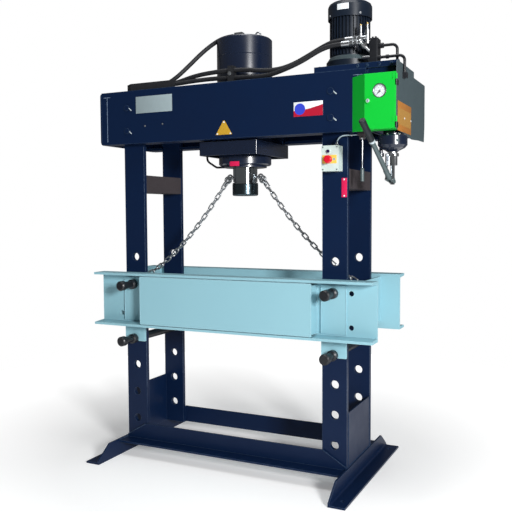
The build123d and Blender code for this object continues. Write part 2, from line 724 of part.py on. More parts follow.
stations = chain_stations()
link_shape = chain_link(stations[0][2] + 0.6)
with BuildPart() as chains:
    for side in (-1, 1):
        for index, ((x, z), slope, pitch) in enumerate(stations):
            roll = 0 if index % 2 else 90
            place = Location((side * x, 0, z), (0, -slope if side > 0 else slope - 180, 0))
            add(link_shape.moved(place * Location((0, 0, 0), (roll, 0, 0))))
save(chains, "chains")

# Eye bolts in the ram and the shackles that join them to the chains
with BuildPart() as ram_shackles:
    for side in (-1, 1):
        round_x(0, EYE_HEIGHT, sorted((side * (ROD_RADIUS - 14), side * (EYE_X - 12))), 7)
        with Locations(Location((side * EYE_X, 0, EYE_HEIGHT), (90, 0, 0))):
            Torus(14, 5)
        direction = (CHAIN_TOP[0] - EYE_X, CHAIN_TOP[1] - EYE_HEIGHT)
        reach = math.hypot(*direction)
        slope = math.degrees(math.atan2(direction[1], direction[0]))
        place = Location((side * EYE_X, 0, EYE_HEIGHT), (0, -slope if side > 0 else slope - 180, 0))
        with BuildLine(Plane(place)) as bow_path:
            Line((13, -14), (reach - 8, -14))
            RadiusArc((reach - 8, -14), (reach - 8, 14), -14)
            Line((reach - 8, 14), (13, 14))
        with BuildSketch(Plane(bow_path.line @ 0, z_dir=bow_path.line % 0)) as wire:
            Circle(4.5)
        sweep(wire.sketch, path=bow_path.line)
save(ram_shackles, "ram_shackles")

print("links per chain", len(stations), "pitch", round(stations[0][2], 2))

# Power unit: lid across the beam end and the neck of the tank
with BuildPart() as unit_lid:
    block((LID_LEFT, LID_END), (-BEAM_HALF_DEPTH, LID_BACK), (BEAM_TOP, LID_TOP))
    inside_x = (LID_LEFT + 4, LID_CUT - 4)
    block(inside_x, (-BEAM_HALF_DEPTH + 4, LID_BACK - 4), (BEAM_TOP - 1, LID_TOP - 5), Mode.SUBTRACT)
    cut_y = (-TANK_HALF_DEPTH, LID_BACK + 1)
    block((LID_CUT, LID_END + 1), cut_y, (BEAM_TOP - 1, LID_TOP + 1), Mode.SUBTRACT)
save(unit_lid, "unit_lid")

with BuildPart() as tank:
    block((BEAM_HALF_LENGTH, LID_RIGHT), (-TANK_HALF_DEPTH, TANK_HALF_DEPTH), (TANK_BOTTOM, TANK_TOP))
    block((BEAM_HALF_LENGTH, LID_CUT - 12), (-TANK_HALF_DEPTH, LID_BACK - 10), (TANK_TOP, BEAM_TOP))
    core_x = (BEAM_HALF_LENGTH + TANK_WALL, LID_RIGHT - TANK_WALL)
    core_y = (-TANK_HALF_DEPTH + TANK_WALL, TANK_HALF_DEPTH - TANK_WALL)
    block(core_x, core_y, (TANK_BOTTOM + TANK_WALL, TANK_TOP - TANK_WALL), Mode.SUBTRACT)
    neck_x = (BEAM_HALF_LENGTH + 14, LID_CUT - 26)
    neck_y = (-TANK_HALF_DEPTH + 14, LID_BACK - 24)
    block(neck_x, neck_y, (TANK_TOP - TANK_WALL - 1, BEAM_TOP + 1), Mode.SUBTRACT)
save(tank, "tank")

with BuildPart() as side_plate:
    with BuildSketch(side_plane(LID_RIGHT)):
        with BuildLine():
            Polyline(
                (-335, 1813),
                (-332, 2126),
                (-320, 2136),
                (5, 2134),
                (6, 2105),
                (250, 2104),
                (256, 2098),
                (257, 1880),
                (246, 1800),
                (134, 1798),
                (-28, 1789),
                (-130, 1799),
                close=True,
            )
        make_face()
        with Locations((-35, 2121), (-35, 2105), (-34, 2076)):
            Circle(4, mode=Mode.SUBTRACT)
    extrude(amount=SIDE_PLATE_THICK)
save(side_plate, "side_plate")

# Gauge cabinet: folded sheet with one chamfered corner, open behind a lift-off door
cabinet_outline = [
    (CABINET_LEFT, -BEAM_HALF_DEPTH),
    (CABINET_CORNER, CABINET_FRONT),
    (LID_RIGHT, CABINET_FRONT),
    (LID_RIGHT, -TANK_HALF_DEPTH),
    (BEAM_HALF_LENGTH, -TANK_HALF_DEPTH),
    (BEAM_HALF_LENGTH, -BEAM_HALF_DEPTH),
]
with BuildPart() as cabinet:
    with BuildSketch(Plane.XY.offset(CABINET_BOTTOM)):
        with BuildLine():
            Polyline(*cabinet_outline, close=True)
        make_face()
    extrude(amount=CABINET_TOP - CABINET_BOTTOM)
    with BuildSketch(Plane.XY.offset(CABINET_BOTTOM + SHEET)):
        with BuildLine():
            Polyline(*cabinet_outline, close=True)
        make_face()
        offset(amount=-SHEET, kind=Kind.INTERSECTION)
    extrude(amount=CABINET_TOP - CABINET_BOTTOM - 2 * SHEET, mode=Mode.SUBTRACT)
    door_way = (CABINET_BOTTOM + 12, CABINET_TOP - 12)
    block((DOOR_LEFT + 6, DOOR_RIGHT - 10), (CABINET_FRONT - 1, CABINET_FRONT + 4), door_way, Mode.SUBTRACT)
    block((772, LID_RIGHT - 1), (-306, -303), (GAUGE_Z - 60, GAUGE_Z + 60))
save(cabinet, "cabinet")

DOOR_BACK = CABINET_FRONT - 0.5
DOOR_FRONT = DOOR_BACK - 3
HINGE_KNUCKLE = 4.5
HINGE_PIN = 2.0

# Door with the upper knuckle of each hinge and the lock barrel
with BuildPart() as door:
    block((DOOR_LEFT, DOOR_RIGHT), (DOOR_FRONT, DOOR_BACK), (CABINET_BOTTOM + 3, CABINET_TOP - 3))
    fillet(door.edges().filter_by(Axis.Y), radius=3)
    round_y(GAUGE_X, GAUGE_Z, (DOOR_FRONT - 1, DOOR_BACK + 1), GAUGE_RADIUS + 1.5, Mode.SUBTRACT)
    round_y(LOCK_X, LOCK_Z, (DOOR_FRONT - 3, DOOR_BACK + 12), 9)
    round_y(LOCK_X, LOCK_Z, (DOOR_FRONT - 6, DOOR_FRONT), 12)
    for height in HINGE_HEIGHTS:
        round_z(HINGE_X, HINGE_Y, (height + 0.3, height + HINGE_LEAF), HINGE_KNUCKLE)
        strap_y = (DOOR_FRONT - 2.5, DOOR_FRONT)
        block((DOOR_RIGHT - 12, HINGE_X), strap_y, (height + 0.3, height + HINGE_LEAF))
        bore = (height, height + HINGE_LEAF - 0.5)
        round_z(HINGE_X, HINGE_Y, bore, HINGE_PIN + RUNNING_GAP, Mode.SUBTRACT)
save(door, "cabinet_door")

# Fixed knuckle of each hinge, with the pin and the leaf on the side plate
with BuildPart() as hinge_leaves:
    for height in HINGE_HEIGHTS:
        round_z(HINGE_X, HINGE_Y, (height - HINGE_LEAF, height), HINGE_KNUCKLE)
        round_z(HINGE_X, HINGE_Y, (height - 1, height + HINGE_LEAF - 1), HINGE_PIN)
        leaf_x = (LID_RIGHT + SIDE_PLATE_THICK, LID_RIGHT + SIDE_PLATE_THICK + 2.5)
        block(leaf_x, (HINGE_Y, -310), (height - HINGE_LEAF, height))
save(hinge_leaves, "hinge_leaves")

GAUGE_BACK = -306.0
with BuildPart() as gauge_case:
    round_y(GAUGE_X, GAUGE_Z, (-337.5, GAUGE_BACK), GAUGE_RADIUS)
    round_y(GAUGE_X, GAUGE_Z, (-338.5, -331), GAUGE_RADIUS - 4, Mode.SUBTRACT)
    round_y(GAUGE_X, GAUGE_Z, (-335.2, -330), 1.5)
save(gauge_case, "gauge_case")

with BuildPart() as gauge_needle:
    round_y(GAUGE_X, GAUGE_Z, (-334.8, -332.8), 4)
    with BuildSketch(front_plane(-333.2)):
        with BuildLine():
            Polyline(
                (GAUGE_X + 1.6, GAUGE_Z + 5.6),
                (GAUGE_X - 5.6, GAUGE_Z - 1.6),
                (GAUGE_X - 16.5, GAUGE_Z - 15.5),
                (GAUGE_X - 15.5, GAUGE_Z - 16.5),
                (GAUGE_X + 5.6, GAUGE_Z - 4.0),
                close=True,
            )
        make_face()
    extrude(amount=1.2)
    round_y(GAUGE_X, GAUGE_Z, (-336, -332), 1.5 + RUNNING_GAP, Mode.SUBTRACT)
save(gauge_needle, "gauge_needle")

# Motor, flange down on the lid
SHAFT_RADIUS = 12.0
with BuildPart() as motor_body:
    round_z(MOTOR_X, MOTOR_Y, (LID_TOP, MOTOR_FLANGE_TOP), MOTOR_FLANGE_RADIUS)
    turned([
        (0, MOTOR_FLANGE_TOP),
        (MOTOR_FLANGE_RADIUS - 3, MOTOR_FLANGE_TOP),
        (MOTOR_FIN_RADIUS - 2, MOTOR_BODY_BOTTOM),
        (0, MOTOR_BODY_BOTTOM),
    ], MOTOR_X, MOTOR_Y)
    round_z(MOTOR_X, MOTOR_Y, (MOTOR_BODY_BOTTOM, MOTOR_BODY_TOP), MOTOR_RADIUS)
    fin_reach = MOTOR_FIN_RADIUS - MOTOR_RADIUS + 2
    with Locations((MOTOR_X, MOTOR_Y, (MOTOR_BODY_BOTTOM + MOTOR_BODY_TOP) / 2)):
        with PolarLocations(MOTOR_FIN_RADIUS - fin_reach / 2, MOTOR_FIN_COUNT):
            Box(fin_reach, 3, MOTOR_BODY_TOP - MOTOR_BODY_BOTTOM - 16)
    shaft_hole = (MOTOR_BODY_TOP - 80, MOTOR_BODY_TOP + 1)
    round_z(MOTOR_X, MOTOR_Y, shaft_hole, SHAFT_RADIUS + RUNNING_GAP, Mode.SUBTRACT)
save(motor_body, "motor_body")

with BuildPart() as fan_cowl:
    turned([
        (COWL_RADIUS - 2.5, MOTOR_BODY_TOP - 14),
        (COWL_RADIUS, MOTOR_BODY_TOP - 14),
        (COWL_RADIUS, COWL_TOP - 24),
        (COWL_RADIUS - 6, COWL_TOP - 11),
        (COWL_RADIUS - 18, COWL_TOP - 3),
        (COWL_RADIUS - 32, COWL_TOP),
        (GRILLE_RADIUS, COWL_TOP),
        (GRILLE_RADIUS, COWL_TOP - 2.5),
        (COWL_RADIUS - 33, COWL_TOP - 2.5),
        (COWL_RADIUS - 19.5, COWL_TOP - 5.5),
        (COWL_RADIUS - 8.2, COWL_TOP - 13),
        (COWL_RADIUS - 2.5, COWL_TOP - 25),
    ], MOTOR_X, MOTOR_Y)
    with Locations((MOTOR_X, MOTOR_Y, MOTOR_BODY_TOP - 4)):
        with PolarLocations(COWL_RADIUS - 10.4, 4):
            Box(16.5, 14, 8)
    with BuildSketch(Plane.XY.offset(COWL_TOP - 2.5)):
        with Locations((MOTOR_X, MOTOR_Y)):
            for ring in (60, 42, 24):
                Circle(ring)
                Circle(ring - 4, mode=Mode.SUBTRACT)
            with PolarLocations(0, 3, 0, 180):
                Rectangle(2 * GRILLE_RADIUS + 2, 4)
    extrude(amount=2.5)
save(fan_cowl, "fan_cowl")

with BuildPart() as motor_shaft:
    round_z(MOTOR_X, MOTOR_Y, (MOTOR_BODY_TOP - 79, COWL_TOP - 16), SHAFT_RADIUS)
    round_z(MOTOR_X, MOTOR_Y, (MOTOR_BODY_TOP + 12, COWL_TOP - 20), 24)
    with Locations((MOTOR_X, MOTOR_Y, MOTOR_BODY_TOP + 32)):
        with PolarLocations(52, 7):
            Box(64, 3, 36)
save(motor_shaft, "motor_fan")

# Valve block, coil and pipework on the lid
with BuildPart() as valve_block:
    block(BLOCK_X, BLOCK_Y, (LID_TOP, BLOCK_TOP))
    chamfer(valve_block.edges().filter_by(Axis.Z), length=2)
    for x, y in ((814, -216), (829, -216), (814, -184), (829, -184)):
        round_z(x, y, (BLOCK_TOP, BLOCK_TOP + 9), 5)
    block((802, 841), (BLOCK_Y[0] - 12, BLOCK_Y[0]), (LID_TOP, LID_TOP + 30))
save(valve_block, "valve_block")


def tube(points, bends, radius):
    """Round bar swept along straight runs joined by tangent arcs."""
    with BuildLine() as route:
        FilletPolyline(*points, radius=bends)
    path = route.wire()
    with BuildSketch(Plane(path @ 0, z_dir=path % 0)) as section:
        Circle(radius)
    swept = sweep(section.sketch, path=path)
    return swept, path.length


def hose_bends(points):
    """Bend radii that use most of the shorter neighbouring run."""
    radii = []
    for before, corner, after in zip(points, points[1:], points[2:]):
        into = Vector(*corner) - Vector(*before)
        out = Vector(*after) - Vector(*corner)
        turn = math.radians(into.get_angle(out))
        radii.append(0.45 * min(into.length, out.length) / math.tan(turn / 2))
    return radii


def pipe(name, points, bends, radius):
    """Swept tube saved as a piece, with its length and volume printed."""
    with BuildPart() as piece:
        swept, length = tube(points, bends, radius)
    ratio = piece.part.volume / (math.pi * radius ** 2 * length)
    print(name, "bends", [round(b) for b in bends], "volume ratio", round(ratio, 4))
    save(piece, name)


def bar(start, stop, radius, sides=0):
    """Round or hexagonal bar between two points."""
    reach = Vector(*stop) - Vector(*start)
    with BuildSketch(Plane(origin=start, z_dir=reach)) as section:
        if sides:
            RegularPolygon(radius, sides)
        else:
            Circle(radius)
    extrude(section.sketch, amount=reach.length)


# Return and pressure pipes, and the fittings of the block and the side plate
PIPES = (
    [(BLOCK_X[1], RETURN_Y, RETURN_Z), (RETURN_X, RETURN_Y, RETURN_Z), (RETURN_X, RETURN_Y, LID_TOP)],
    [
        (BLOCK_X[1], PRESSURE_Y, PRESSURE_Z),
        (PRESSURE_X, PRESSURE_Y, PRESSURE_Z),
        (PRESSURE_X, PRESSURE_Y, 2100),
    ],
)
with BuildPart() as steel_pipes:
    for points in PIPES:
        tube(points, [26], 7)
    round_x(RETURN_Y, RETURN_Z, (BLOCK_X[1], BLOCK_X[1] + 20), 13)
    round_x(PRESSURE_Y, PRESSURE_Z, (BLOCK_X[1], BLOCK_X[1] + 14), 11)
    round_x(PRESSURE_Y, PRESSURE_Z, (882, 895), 10)
    round_z(RETURN_X, RETURN_Y, (LID_TOP, LID_TOP + 16), 12)
    block((LID_RIGHT + SIDE_PLATE_THICK, 988), (PRESSURE_Y - 12, PRESSURE_Y + 12), (2066, 2092))
    round_z(PRESSURE_X, PRESSURE_Y, (2092, 2106), 7.9)
save(steel_pipes, "steel_pipes")

with BuildPart() as hose_fittings:
    bar(ELBOW_START, ELBOW_END, 9)
    block(BLOCK_X, BLOCK_Y, (LID_TOP, BLOCK_TOP), Mode.SUBTRACT)
    with Locations(ELBOW_START):
        Sphere(15)
    bar((767.9, -235.2, 2245.8), (781, -228.9, 2232.1), 13, 6)
    for (x, y, z), reach in ((LOWER_FITTING, 92), (UPPER_FITTING, 108)):
        round_x(y, z, (x, x + 40), 14.5)
        round_x(y, z, (x + 39, x + reach), 11.5)
        for start in (x + 44, x + 65):
            bar((start, y, z), (start + 15, y, z), 16, 6)
    round_z(752, -214, (2276, 2304), 10)
    round_z(752, -214, (2303, 2342), 7)
    round_z(786, -214, (2250, 2318), 12)
    round_z(786, -214, (2317, 2346), 7)
    round_x(-214, 2260, (786, BLOCK_X[0]), 8)
    round_x(BLOCK_Y[0] + 12, 2184, (766, BLOCK_X[0]), 9)
save(hose_fittings, "hose_fittings")

for hose_name, hose_points in HOSES:
    pipe(hose_name, hose_points, hose_bends(hose_points), HOSE_RADIUS)
pipe("control_cable", CABLE_POINTS, hose_bends(CABLE_POINTS), CABLE_RADIUS)

# Tray on the beam that takes the hoses, and the post that holds them up
with BuildPart() as hose_supports:
    with BuildSketch(Plane.XY.offset(BEAM_TOP)):
        with BuildLine():
            Polyline(
                (TRAY_RIGHT, TRAY_FRONT),
                (TRAY_RIGHT, TRAY_BACK),
                (TRAY_LEFT + 44, TRAY_BACK),
                (TRAY_LEFT, TRAY_BACK - 30),
                (TRAY_LEFT, TRAY_FRONT + 30),
                (TRAY_LEFT + 44, TRAY_FRONT),
                close=True,
            )
        make_face()
    extrude(amount=TRAY_HEIGHT)
    inner_x = (TRAY_LEFT + 50, TRAY_RIGHT + 1)
    inner_y = (TRAY_FRONT + TRAY_WALL, TRAY_BACK - TRAY_WALL)
    block(inner_x, inner_y, (BEAM_TOP + TRAY_WALL, BEAM_TOP + TRAY_HEIGHT + 1), Mode.SUBTRACT)
    back_edge = (TRAY_BACK - TRAY_WALL - 1, TRAY_BACK + 1)
    back_top = (BEAM_TOP + 14, BEAM_TOP + TRAY_HEIGHT + 1)
    block((TRAY_LEFT + 48, TRAY_RIGHT + 1), back_edge, back_top, Mode.SUBTRACT)
    block((12, 58), (-252, -194), (BEAM_TOP, BEAM_TOP + 6))
    block((18, 50), (-243, -201), (BEAM_TOP + 6, 2210))
    for hose_y, hose_z in CLAMP_HOLES:
        round_x(hose_y, hose_z, (17, 51), HOSE_RADIUS + 1, Mode.SUBTRACT)
save(hose_supports, "hose_supports")

# Pipe from the gland out under the carriage and up beside the barrel, with its clip
with BuildPart() as gland_pipe:
    gland_route = [
        (-134, -30, 1683.5),
        (-170, -30, 1683.5),
        (-232, -30, 1722),
        (-232, -30, 1852),
    ]
    tube(gland_route, [34, 34], 6)
    block((-250, -CARRIAGE_HALF_X), (-46, -14), (1782, 1790))
    round_z(-232, -30, (1776, 1796), 11)
    round_z(-232, -30, (1846, 1866), 12)
save(gland_pipe, "gland_pipe")

# Hand pump under the tank
with BuildPart() as pump_body:
    turned([
        (0, 1716),
        (26, 1716),
        (34, 1722),
        (PUMP_RADIUS - 12, 1734),
        (PUMP_RADIUS, 1748),
        (PUMP_RADIUS, 1790),
        (PUMP_RADIUS - 5, 1795),
        (46, 1795),
        (46, TANK_BOTTOM),
        (0, TANK_BOTTOM),
    ], PUMP_X, PUMP_Y)
    round_z(PUMP_X - 58, PUMP_Y, (1710, 1760), 9)
    round_z(PUMP_X - 58, PUMP_Y, (1694, 1712), 15)
save(pump_body, "pump_body")

LEVER_PLACE = Location((PUMP_X, PUMP_Y, 0), (0, 0, -LEVER_LEAN))
LEVER_SWING = 44.0
PLUNGER_ARM = 30.0
FULCRUM_Z = LEVER_PIN_Z + PLUNGER_ARM * math.sin(math.radians(LEVER_SWING / 2))
FULCRUM_OFFSET = PLUNGER_ARM * math.cos(math.radians(LEVER_SWING / 2))


def lever_frame():
    """Locations frame turned so that local -Y is the way the lever leans."""
    return Locations(LEVER_PLACE)


with BuildPart() as pump_cylinder:
    round_z(PUMP_X, PUMP_Y, (1650, 1716), 24)
    round_z(PUMP_X, PUMP_Y, (1694, 1708), 31)
    with lever_frame():
        for side in (-1, 1):
            with Locations((side * 19, -FULCRUM_OFFSET, (FULCRUM_Z + 1706) / 2)):
                Box(5, 18, 1706 - FULCRUM_Z)
            with Locations(Location((side * 19, -FULCRUM_OFFSET, FULCRUM_Z), (0, 90, 0))):
                Cylinder(9, 5)
                Cylinder(LEVER_PIN_RADIUS + RUNNING_GAP, 6, mode=Mode.SUBTRACT)
    round_z(PUMP_X, PUMP_Y, (1649, 1706), 9 + RUNNING_GAP, Mode.SUBTRACT)
save(pump_cylinder, "pump_cylinder")

with BuildPart() as pump_plunger:
    round_z(PUMP_X, PUMP_Y, (LEVER_PIN_Z + 12, 1680), 9)
    with lever_frame():
        with Locations((0, 1, LEVER_PIN_Z)):
            Box(12, 22, 30)
            Box(13, 4, 2 * 5.3, mode=Mode.SUBTRACT)
        for shift in (-1, 3):
            with Locations(Location((0, shift, LEVER_PIN_Z), (0, 90, 0))):
                Cylinder(5.3, 13, mode=Mode.SUBTRACT)
save(pump_plunger, "pump_plunger")

tilt = math.radians(LEVER_TILT)
fulcrum = Vector(0, -FULCRUM_OFFSET, FULCRUM_Z)
along = Vector(0, -math.sin(tilt), math.cos(tilt))


def lever_cylinder(start, stop, radius, mode=Mode.ADD):
    """Cylinder along the lever, between two distances from the fulcrum."""
    middle = fulcrum + along * ((start + stop) / 2)
    with Locations(Location((middle.X, middle.Y, middle.Z), (LEVER_TILT, 0, 0))):
        Cylinder(radius, stop - start, mode=mode)


with BuildPart() as pump_lever:
    with lever_frame():
        for side in (-1, 1):
            cheek = side * 11
            with Locations(Location((cheek, 0, LEVER_PIN_Z), (0, 90, 0))):
                Cylinder(10, 5)
            with Locations(Location((cheek, -FULCRUM_OFFSET, FULCRUM_Z), (0, 90, 0))):
                Cylinder(13, 5)
            arm = math.hypot(FULCRUM_OFFSET, FULCRUM_Z - LEVER_PIN_Z)
            droop = math.degrees(math.atan2(FULCRUM_Z - LEVER_PIN_Z, FULCRUM_OFFSET))
            arm_centre = (cheek, -FULCRUM_OFFSET / 2, (FULCRUM_Z + LEVER_PIN_Z) / 2)
            with Locations(Location(arm_centre, (-droop, 0, 0))):
                Box(5, arm, 18)
        with Locations(Location((0, 0, LEVER_PIN_Z), (0, 90, 0))):
            Cylinder(5, 27)
        with Locations(Location((0, -FULCRUM_OFFSET, FULCRUM_Z), (0, 90, 0))):
            Cylinder(LEVER_PIN_RADIUS, 50)
        lever_cylinder(8, 60, 13.4)
        lever_cylinder(50, LEVER_LENGTH - 12, 11.5)
save(pump_lever, "pump_lever")

with BuildPart() as lever_grip:
    with lever_frame():
        lever_cylinder(LEVER_LENGTH - LEVER_GRIP, LEVER_LENGTH, 16)
    fillet(lever_grip.edges().filter_by(GeomType.CIRCLE), radius=5)
    with lever_frame():
        lever_cylinder(LEVER_LENGTH - LEVER_GRIP - 1, LEVER_LENGTH - 12, 11.5, Mode.SUBTRACT)
save(lever_grip, "lever_grip")

# Release valve under the beam end, worked by a hanging lever
with BuildPart() as release_valve:
    block((VALVE_LEVER_X - 19, VALVE_LEVER_X + 19), (-244, -200), (VALVE_LEVER_Z + 10, BEAM_BOTTOM))
    for side in (-1, 1):
        ear = sorted((VALVE_LEVER_X + side * 6, VALVE_LEVER_X + side * 13))
        block(ear, (VALVE_LEVER_Y - 9, VALVE_LEVER_Y + 9), (VALVE_LEVER_Z - 8, VALVE_LEVER_Z + 11))
        round_x(VALVE_LEVER_Y, VALVE_LEVER_Z, ear, 4 + RUNNING_GAP, Mode.SUBTRACT)
save(release_valve, "release_valve")

with BuildPart() as release_lever:
    round_x(VALVE_LEVER_Y, VALVE_LEVER_Z, (VALVE_LEVER_X - 15, VALVE_LEVER_X + 15), 4)
    round_x(VALVE_LEVER_Y, VALVE_LEVER_Z, (VALVE_LEVER_X - 5, VALVE_LEVER_X + 5), 8)
    round_z(VALVE_LEVER_X, VALVE_LEVER_Y, (1630, VALVE_LEVER_Z), 3.5)
    round_z(VALVE_LEVER_X, VALVE_LEVER_Y, (1576, 1638), 8)
save(release_lever, "release_lever")

# Control box with a latching stop button and a flush start button
with BuildPart() as control_box:
    block(BOX_X, (BOX_FRONT, -FRAME_HALF_DEPTH), BOX_Z)
    fillet(control_box.edges().filter_by(Axis.Y), radius=4)
    round_y(STOP_X, STOP_Z, (BOX_FRONT - 9, BOX_FRONT + 1), 15)
    round_y(STOP_X, STOP_Z, (BOX_FRONT - 10, BOX_FRONT + 30), 8 + RUNNING_GAP, Mode.SUBTRACT)
    round_y(START_X, START_Z, (BOX_FRONT - 4, BOX_FRONT + 1), 12)
    round_y(START_X, START_Z, (BOX_FRONT - 5, BOX_FRONT + 24), 8 + RUNNING_GAP, Mode.SUBTRACT)
save(control_box, "control_box")

with BuildPart() as stop_button:
    round_y(STOP_X, STOP_Z, (BOX_FRONT - 20, BOX_FRONT + 20), 8)
    round_y(STOP_X, STOP_Z, (BOX_FRONT - 42, BOX_FRONT - 19), 20)
    fillet(stop_button.edges().filter_by(GeomType.CIRCLE).group_by(Axis.Y)[0], radius=6)
save(stop_button, "stop_button")

with BuildPart() as start_button:
    round_y(START_X, START_Z, (BOX_FRONT - 8, BOX_FRONT + 18), 8)
save(start_button, "start_button")
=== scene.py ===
"""Looks of the workshop press: paints, plates, welds, gauge face, hoses and the studio round it."""
import json
import math

import bmesh
import bpy
from mathutils import Matrix, Vector


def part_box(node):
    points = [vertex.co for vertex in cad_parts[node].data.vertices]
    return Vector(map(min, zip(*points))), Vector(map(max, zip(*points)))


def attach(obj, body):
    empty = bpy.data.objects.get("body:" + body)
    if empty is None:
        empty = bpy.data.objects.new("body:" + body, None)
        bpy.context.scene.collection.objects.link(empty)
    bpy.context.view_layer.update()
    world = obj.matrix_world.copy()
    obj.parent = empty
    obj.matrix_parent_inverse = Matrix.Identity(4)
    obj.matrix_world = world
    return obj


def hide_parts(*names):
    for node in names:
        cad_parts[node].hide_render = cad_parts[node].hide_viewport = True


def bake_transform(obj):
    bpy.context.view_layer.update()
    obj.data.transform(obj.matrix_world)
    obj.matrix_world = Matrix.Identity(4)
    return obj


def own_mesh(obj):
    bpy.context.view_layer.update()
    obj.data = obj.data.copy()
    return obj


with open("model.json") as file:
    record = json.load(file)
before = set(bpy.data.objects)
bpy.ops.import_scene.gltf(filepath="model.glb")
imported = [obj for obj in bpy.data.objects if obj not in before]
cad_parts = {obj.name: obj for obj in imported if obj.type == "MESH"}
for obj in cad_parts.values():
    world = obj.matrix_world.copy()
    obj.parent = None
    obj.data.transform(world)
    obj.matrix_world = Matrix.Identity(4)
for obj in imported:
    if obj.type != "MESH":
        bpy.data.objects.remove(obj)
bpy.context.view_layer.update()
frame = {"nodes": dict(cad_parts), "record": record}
nodes = frame["nodes"]
MM = 0.001

# Camera, solved from the photograph: place in metres, turn, tilt and roll in degrees
CAMERA_AT = Vector((1.8359, -3.6617, 1.4156))
CAMERA_TURN = math.radians(25.80)
CAMERA_DIP = math.radians(3.41)
CAMERA_ROLL = math.radians(-0.29)
CAMERA_LENS = 49.91

# Places on the CAD solids, in millimetres
BEAM_FACE = -277.0
BEAM_SEAM_X = 757.0
BEAM_SEAM_Z = (1838.0, 2092.0)
COLUMN_FACE = -214.0
COLUMN_EDGES = (550.0, 685.0)
BEAM_PINS = tuple((x, z) for x in (-617.5, 617.5) for z in (1893.0, 2024.0))
BOX_FACE = -279.0
BOX_X = (569.0, 659.0)
BOX_Z = (1627.0, 1755.0)
SIDE_FACE = 966.0
GAUGE_AT = (884.0, 1996.0)
DIAL_FACE = -331.0
GLASS_FACE = -336.6
MOTOR_AT = (657.0, -95.0)
COWL_RADIUS = 113.0
PUMP_AT = (912.0, -200.0)
PUMP_RADIUS = 72.0
PUMP_TOP = 1795.0
PUMP_BOLT_REACH = 57.0
CYLINDER_RADIUS = 150.0
REAR_COLUMN_FACE = 189.0
TIE_SEAM_Z = (1542.0, 1642.0)
WEB_Z = (798.0, 1046.0)
COVER_SEAM_Z = (786.0, 1058.0)
DOOR_FACE = -347.4
GLAND_AT = (640.0, -246.0, 1755.0)
LEVER_PIVOT = (906.8, -227.3, 1582.2)
COLLAR_REACH = 247.0
RELEASE_AT = (765.0, -222.0)

# Small parts that exist only here, in millimetres and degrees
LOAD_PLATE_X = (418.0, 576.0)
LOAD_PLATE_Z = (1908.0, 1981.0)
BAND_TOP = 1963.0
BAND_FALL = 26.0
BAND_STEPS = 12
CLIP_TILT = 42.0
MARK_FACE = DIAL_FACE - 0.6
BEZEL_FACE = GLASS_FACE - 0.8
NUMBER_REACH = 17.2
FRONT = (0, -1, 0)
UP = (0, 0, 1)

# Nodes whose finish differs from their slot's, as on the machine
NODE_FINISHES = {"gland_pipe": "pin_black", "pump_cylinder": "zinc", "pump_plunger": "chrome_rod"}

# Studio, in metres and watts
AMBIENT = 0.13
FLOOR_RADIUS = 3.2
FLOOR_GLOW = (0.22, 0.85)
LIGHTS = (
    ("key_light", (5.0, -4.4, 2.4), (0.0, 0.0, 1.3), 1.1, 480),
    ("top_light", (0.4, -0.6, 5.6), (0.0, 0.0, 1.0), 3.0, 130),
)


def aim_camera():
    """Puts the camera where the photograph was taken from."""
    turn, dip = CAMERA_TURN, CAMERA_DIP
    forward = Vector((-math.sin(turn) * math.cos(dip), math.cos(turn) * math.cos(dip), -math.sin(dip)))
    right = Vector((math.cos(turn), math.sin(turn), 0))
    up = right.cross(forward)
    x_axis = right * math.cos(CAMERA_ROLL) + up * math.sin(CAMERA_ROLL)
    y_axis = up * math.cos(CAMERA_ROLL) - right * math.sin(CAMERA_ROLL)
    data = bpy.data.cameras.new("camera")
    data.sensor_width = 36
    data.lens = CAMERA_LENS
    data.clip_end = 60
    camera = bpy.data.objects.new("camera", data)
    bpy.context.collection.objects.link(camera)
    turn_matrix = Matrix((x_axis, y_axis, -forward)).transposed().to_4x4()
    camera.matrix_world = Matrix.Translation(CAMERA_AT) @ turn_matrix
    bpy.context.scene.camera = camera


# Materials
def new_material(name):
    """Empty material with its nodes, and its shader."""
    material = bpy.data.materials.new(name)
    material.use_nodes = True
    shader = material.node_tree.nodes["Principled BSDF"]
    return material, material.node_tree, shader


def add(tree, kind, **values):
    """New node; keyword values set its plain properties."""
    node = tree.nodes.new(kind)
    for key, value in values.items():
        setattr(node, key, value)
    return node


def open_group(name, inputs, outputs):
    """Empty shader group with named sockets, and its two end nodes."""
    tree = bpy.data.node_groups.new(name, "ShaderNodeTree")
    for title, kind, default in inputs:
        tree.interface.new_socket(title, in_out="INPUT", socket_type=kind).default_value = default
    for title, kind in outputs:
        tree.interface.new_socket(title, in_out="OUTPUT", socket_type=kind)
    return tree, add(tree, "NodeGroupInput"), add(tree, "NodeGroupOutput")


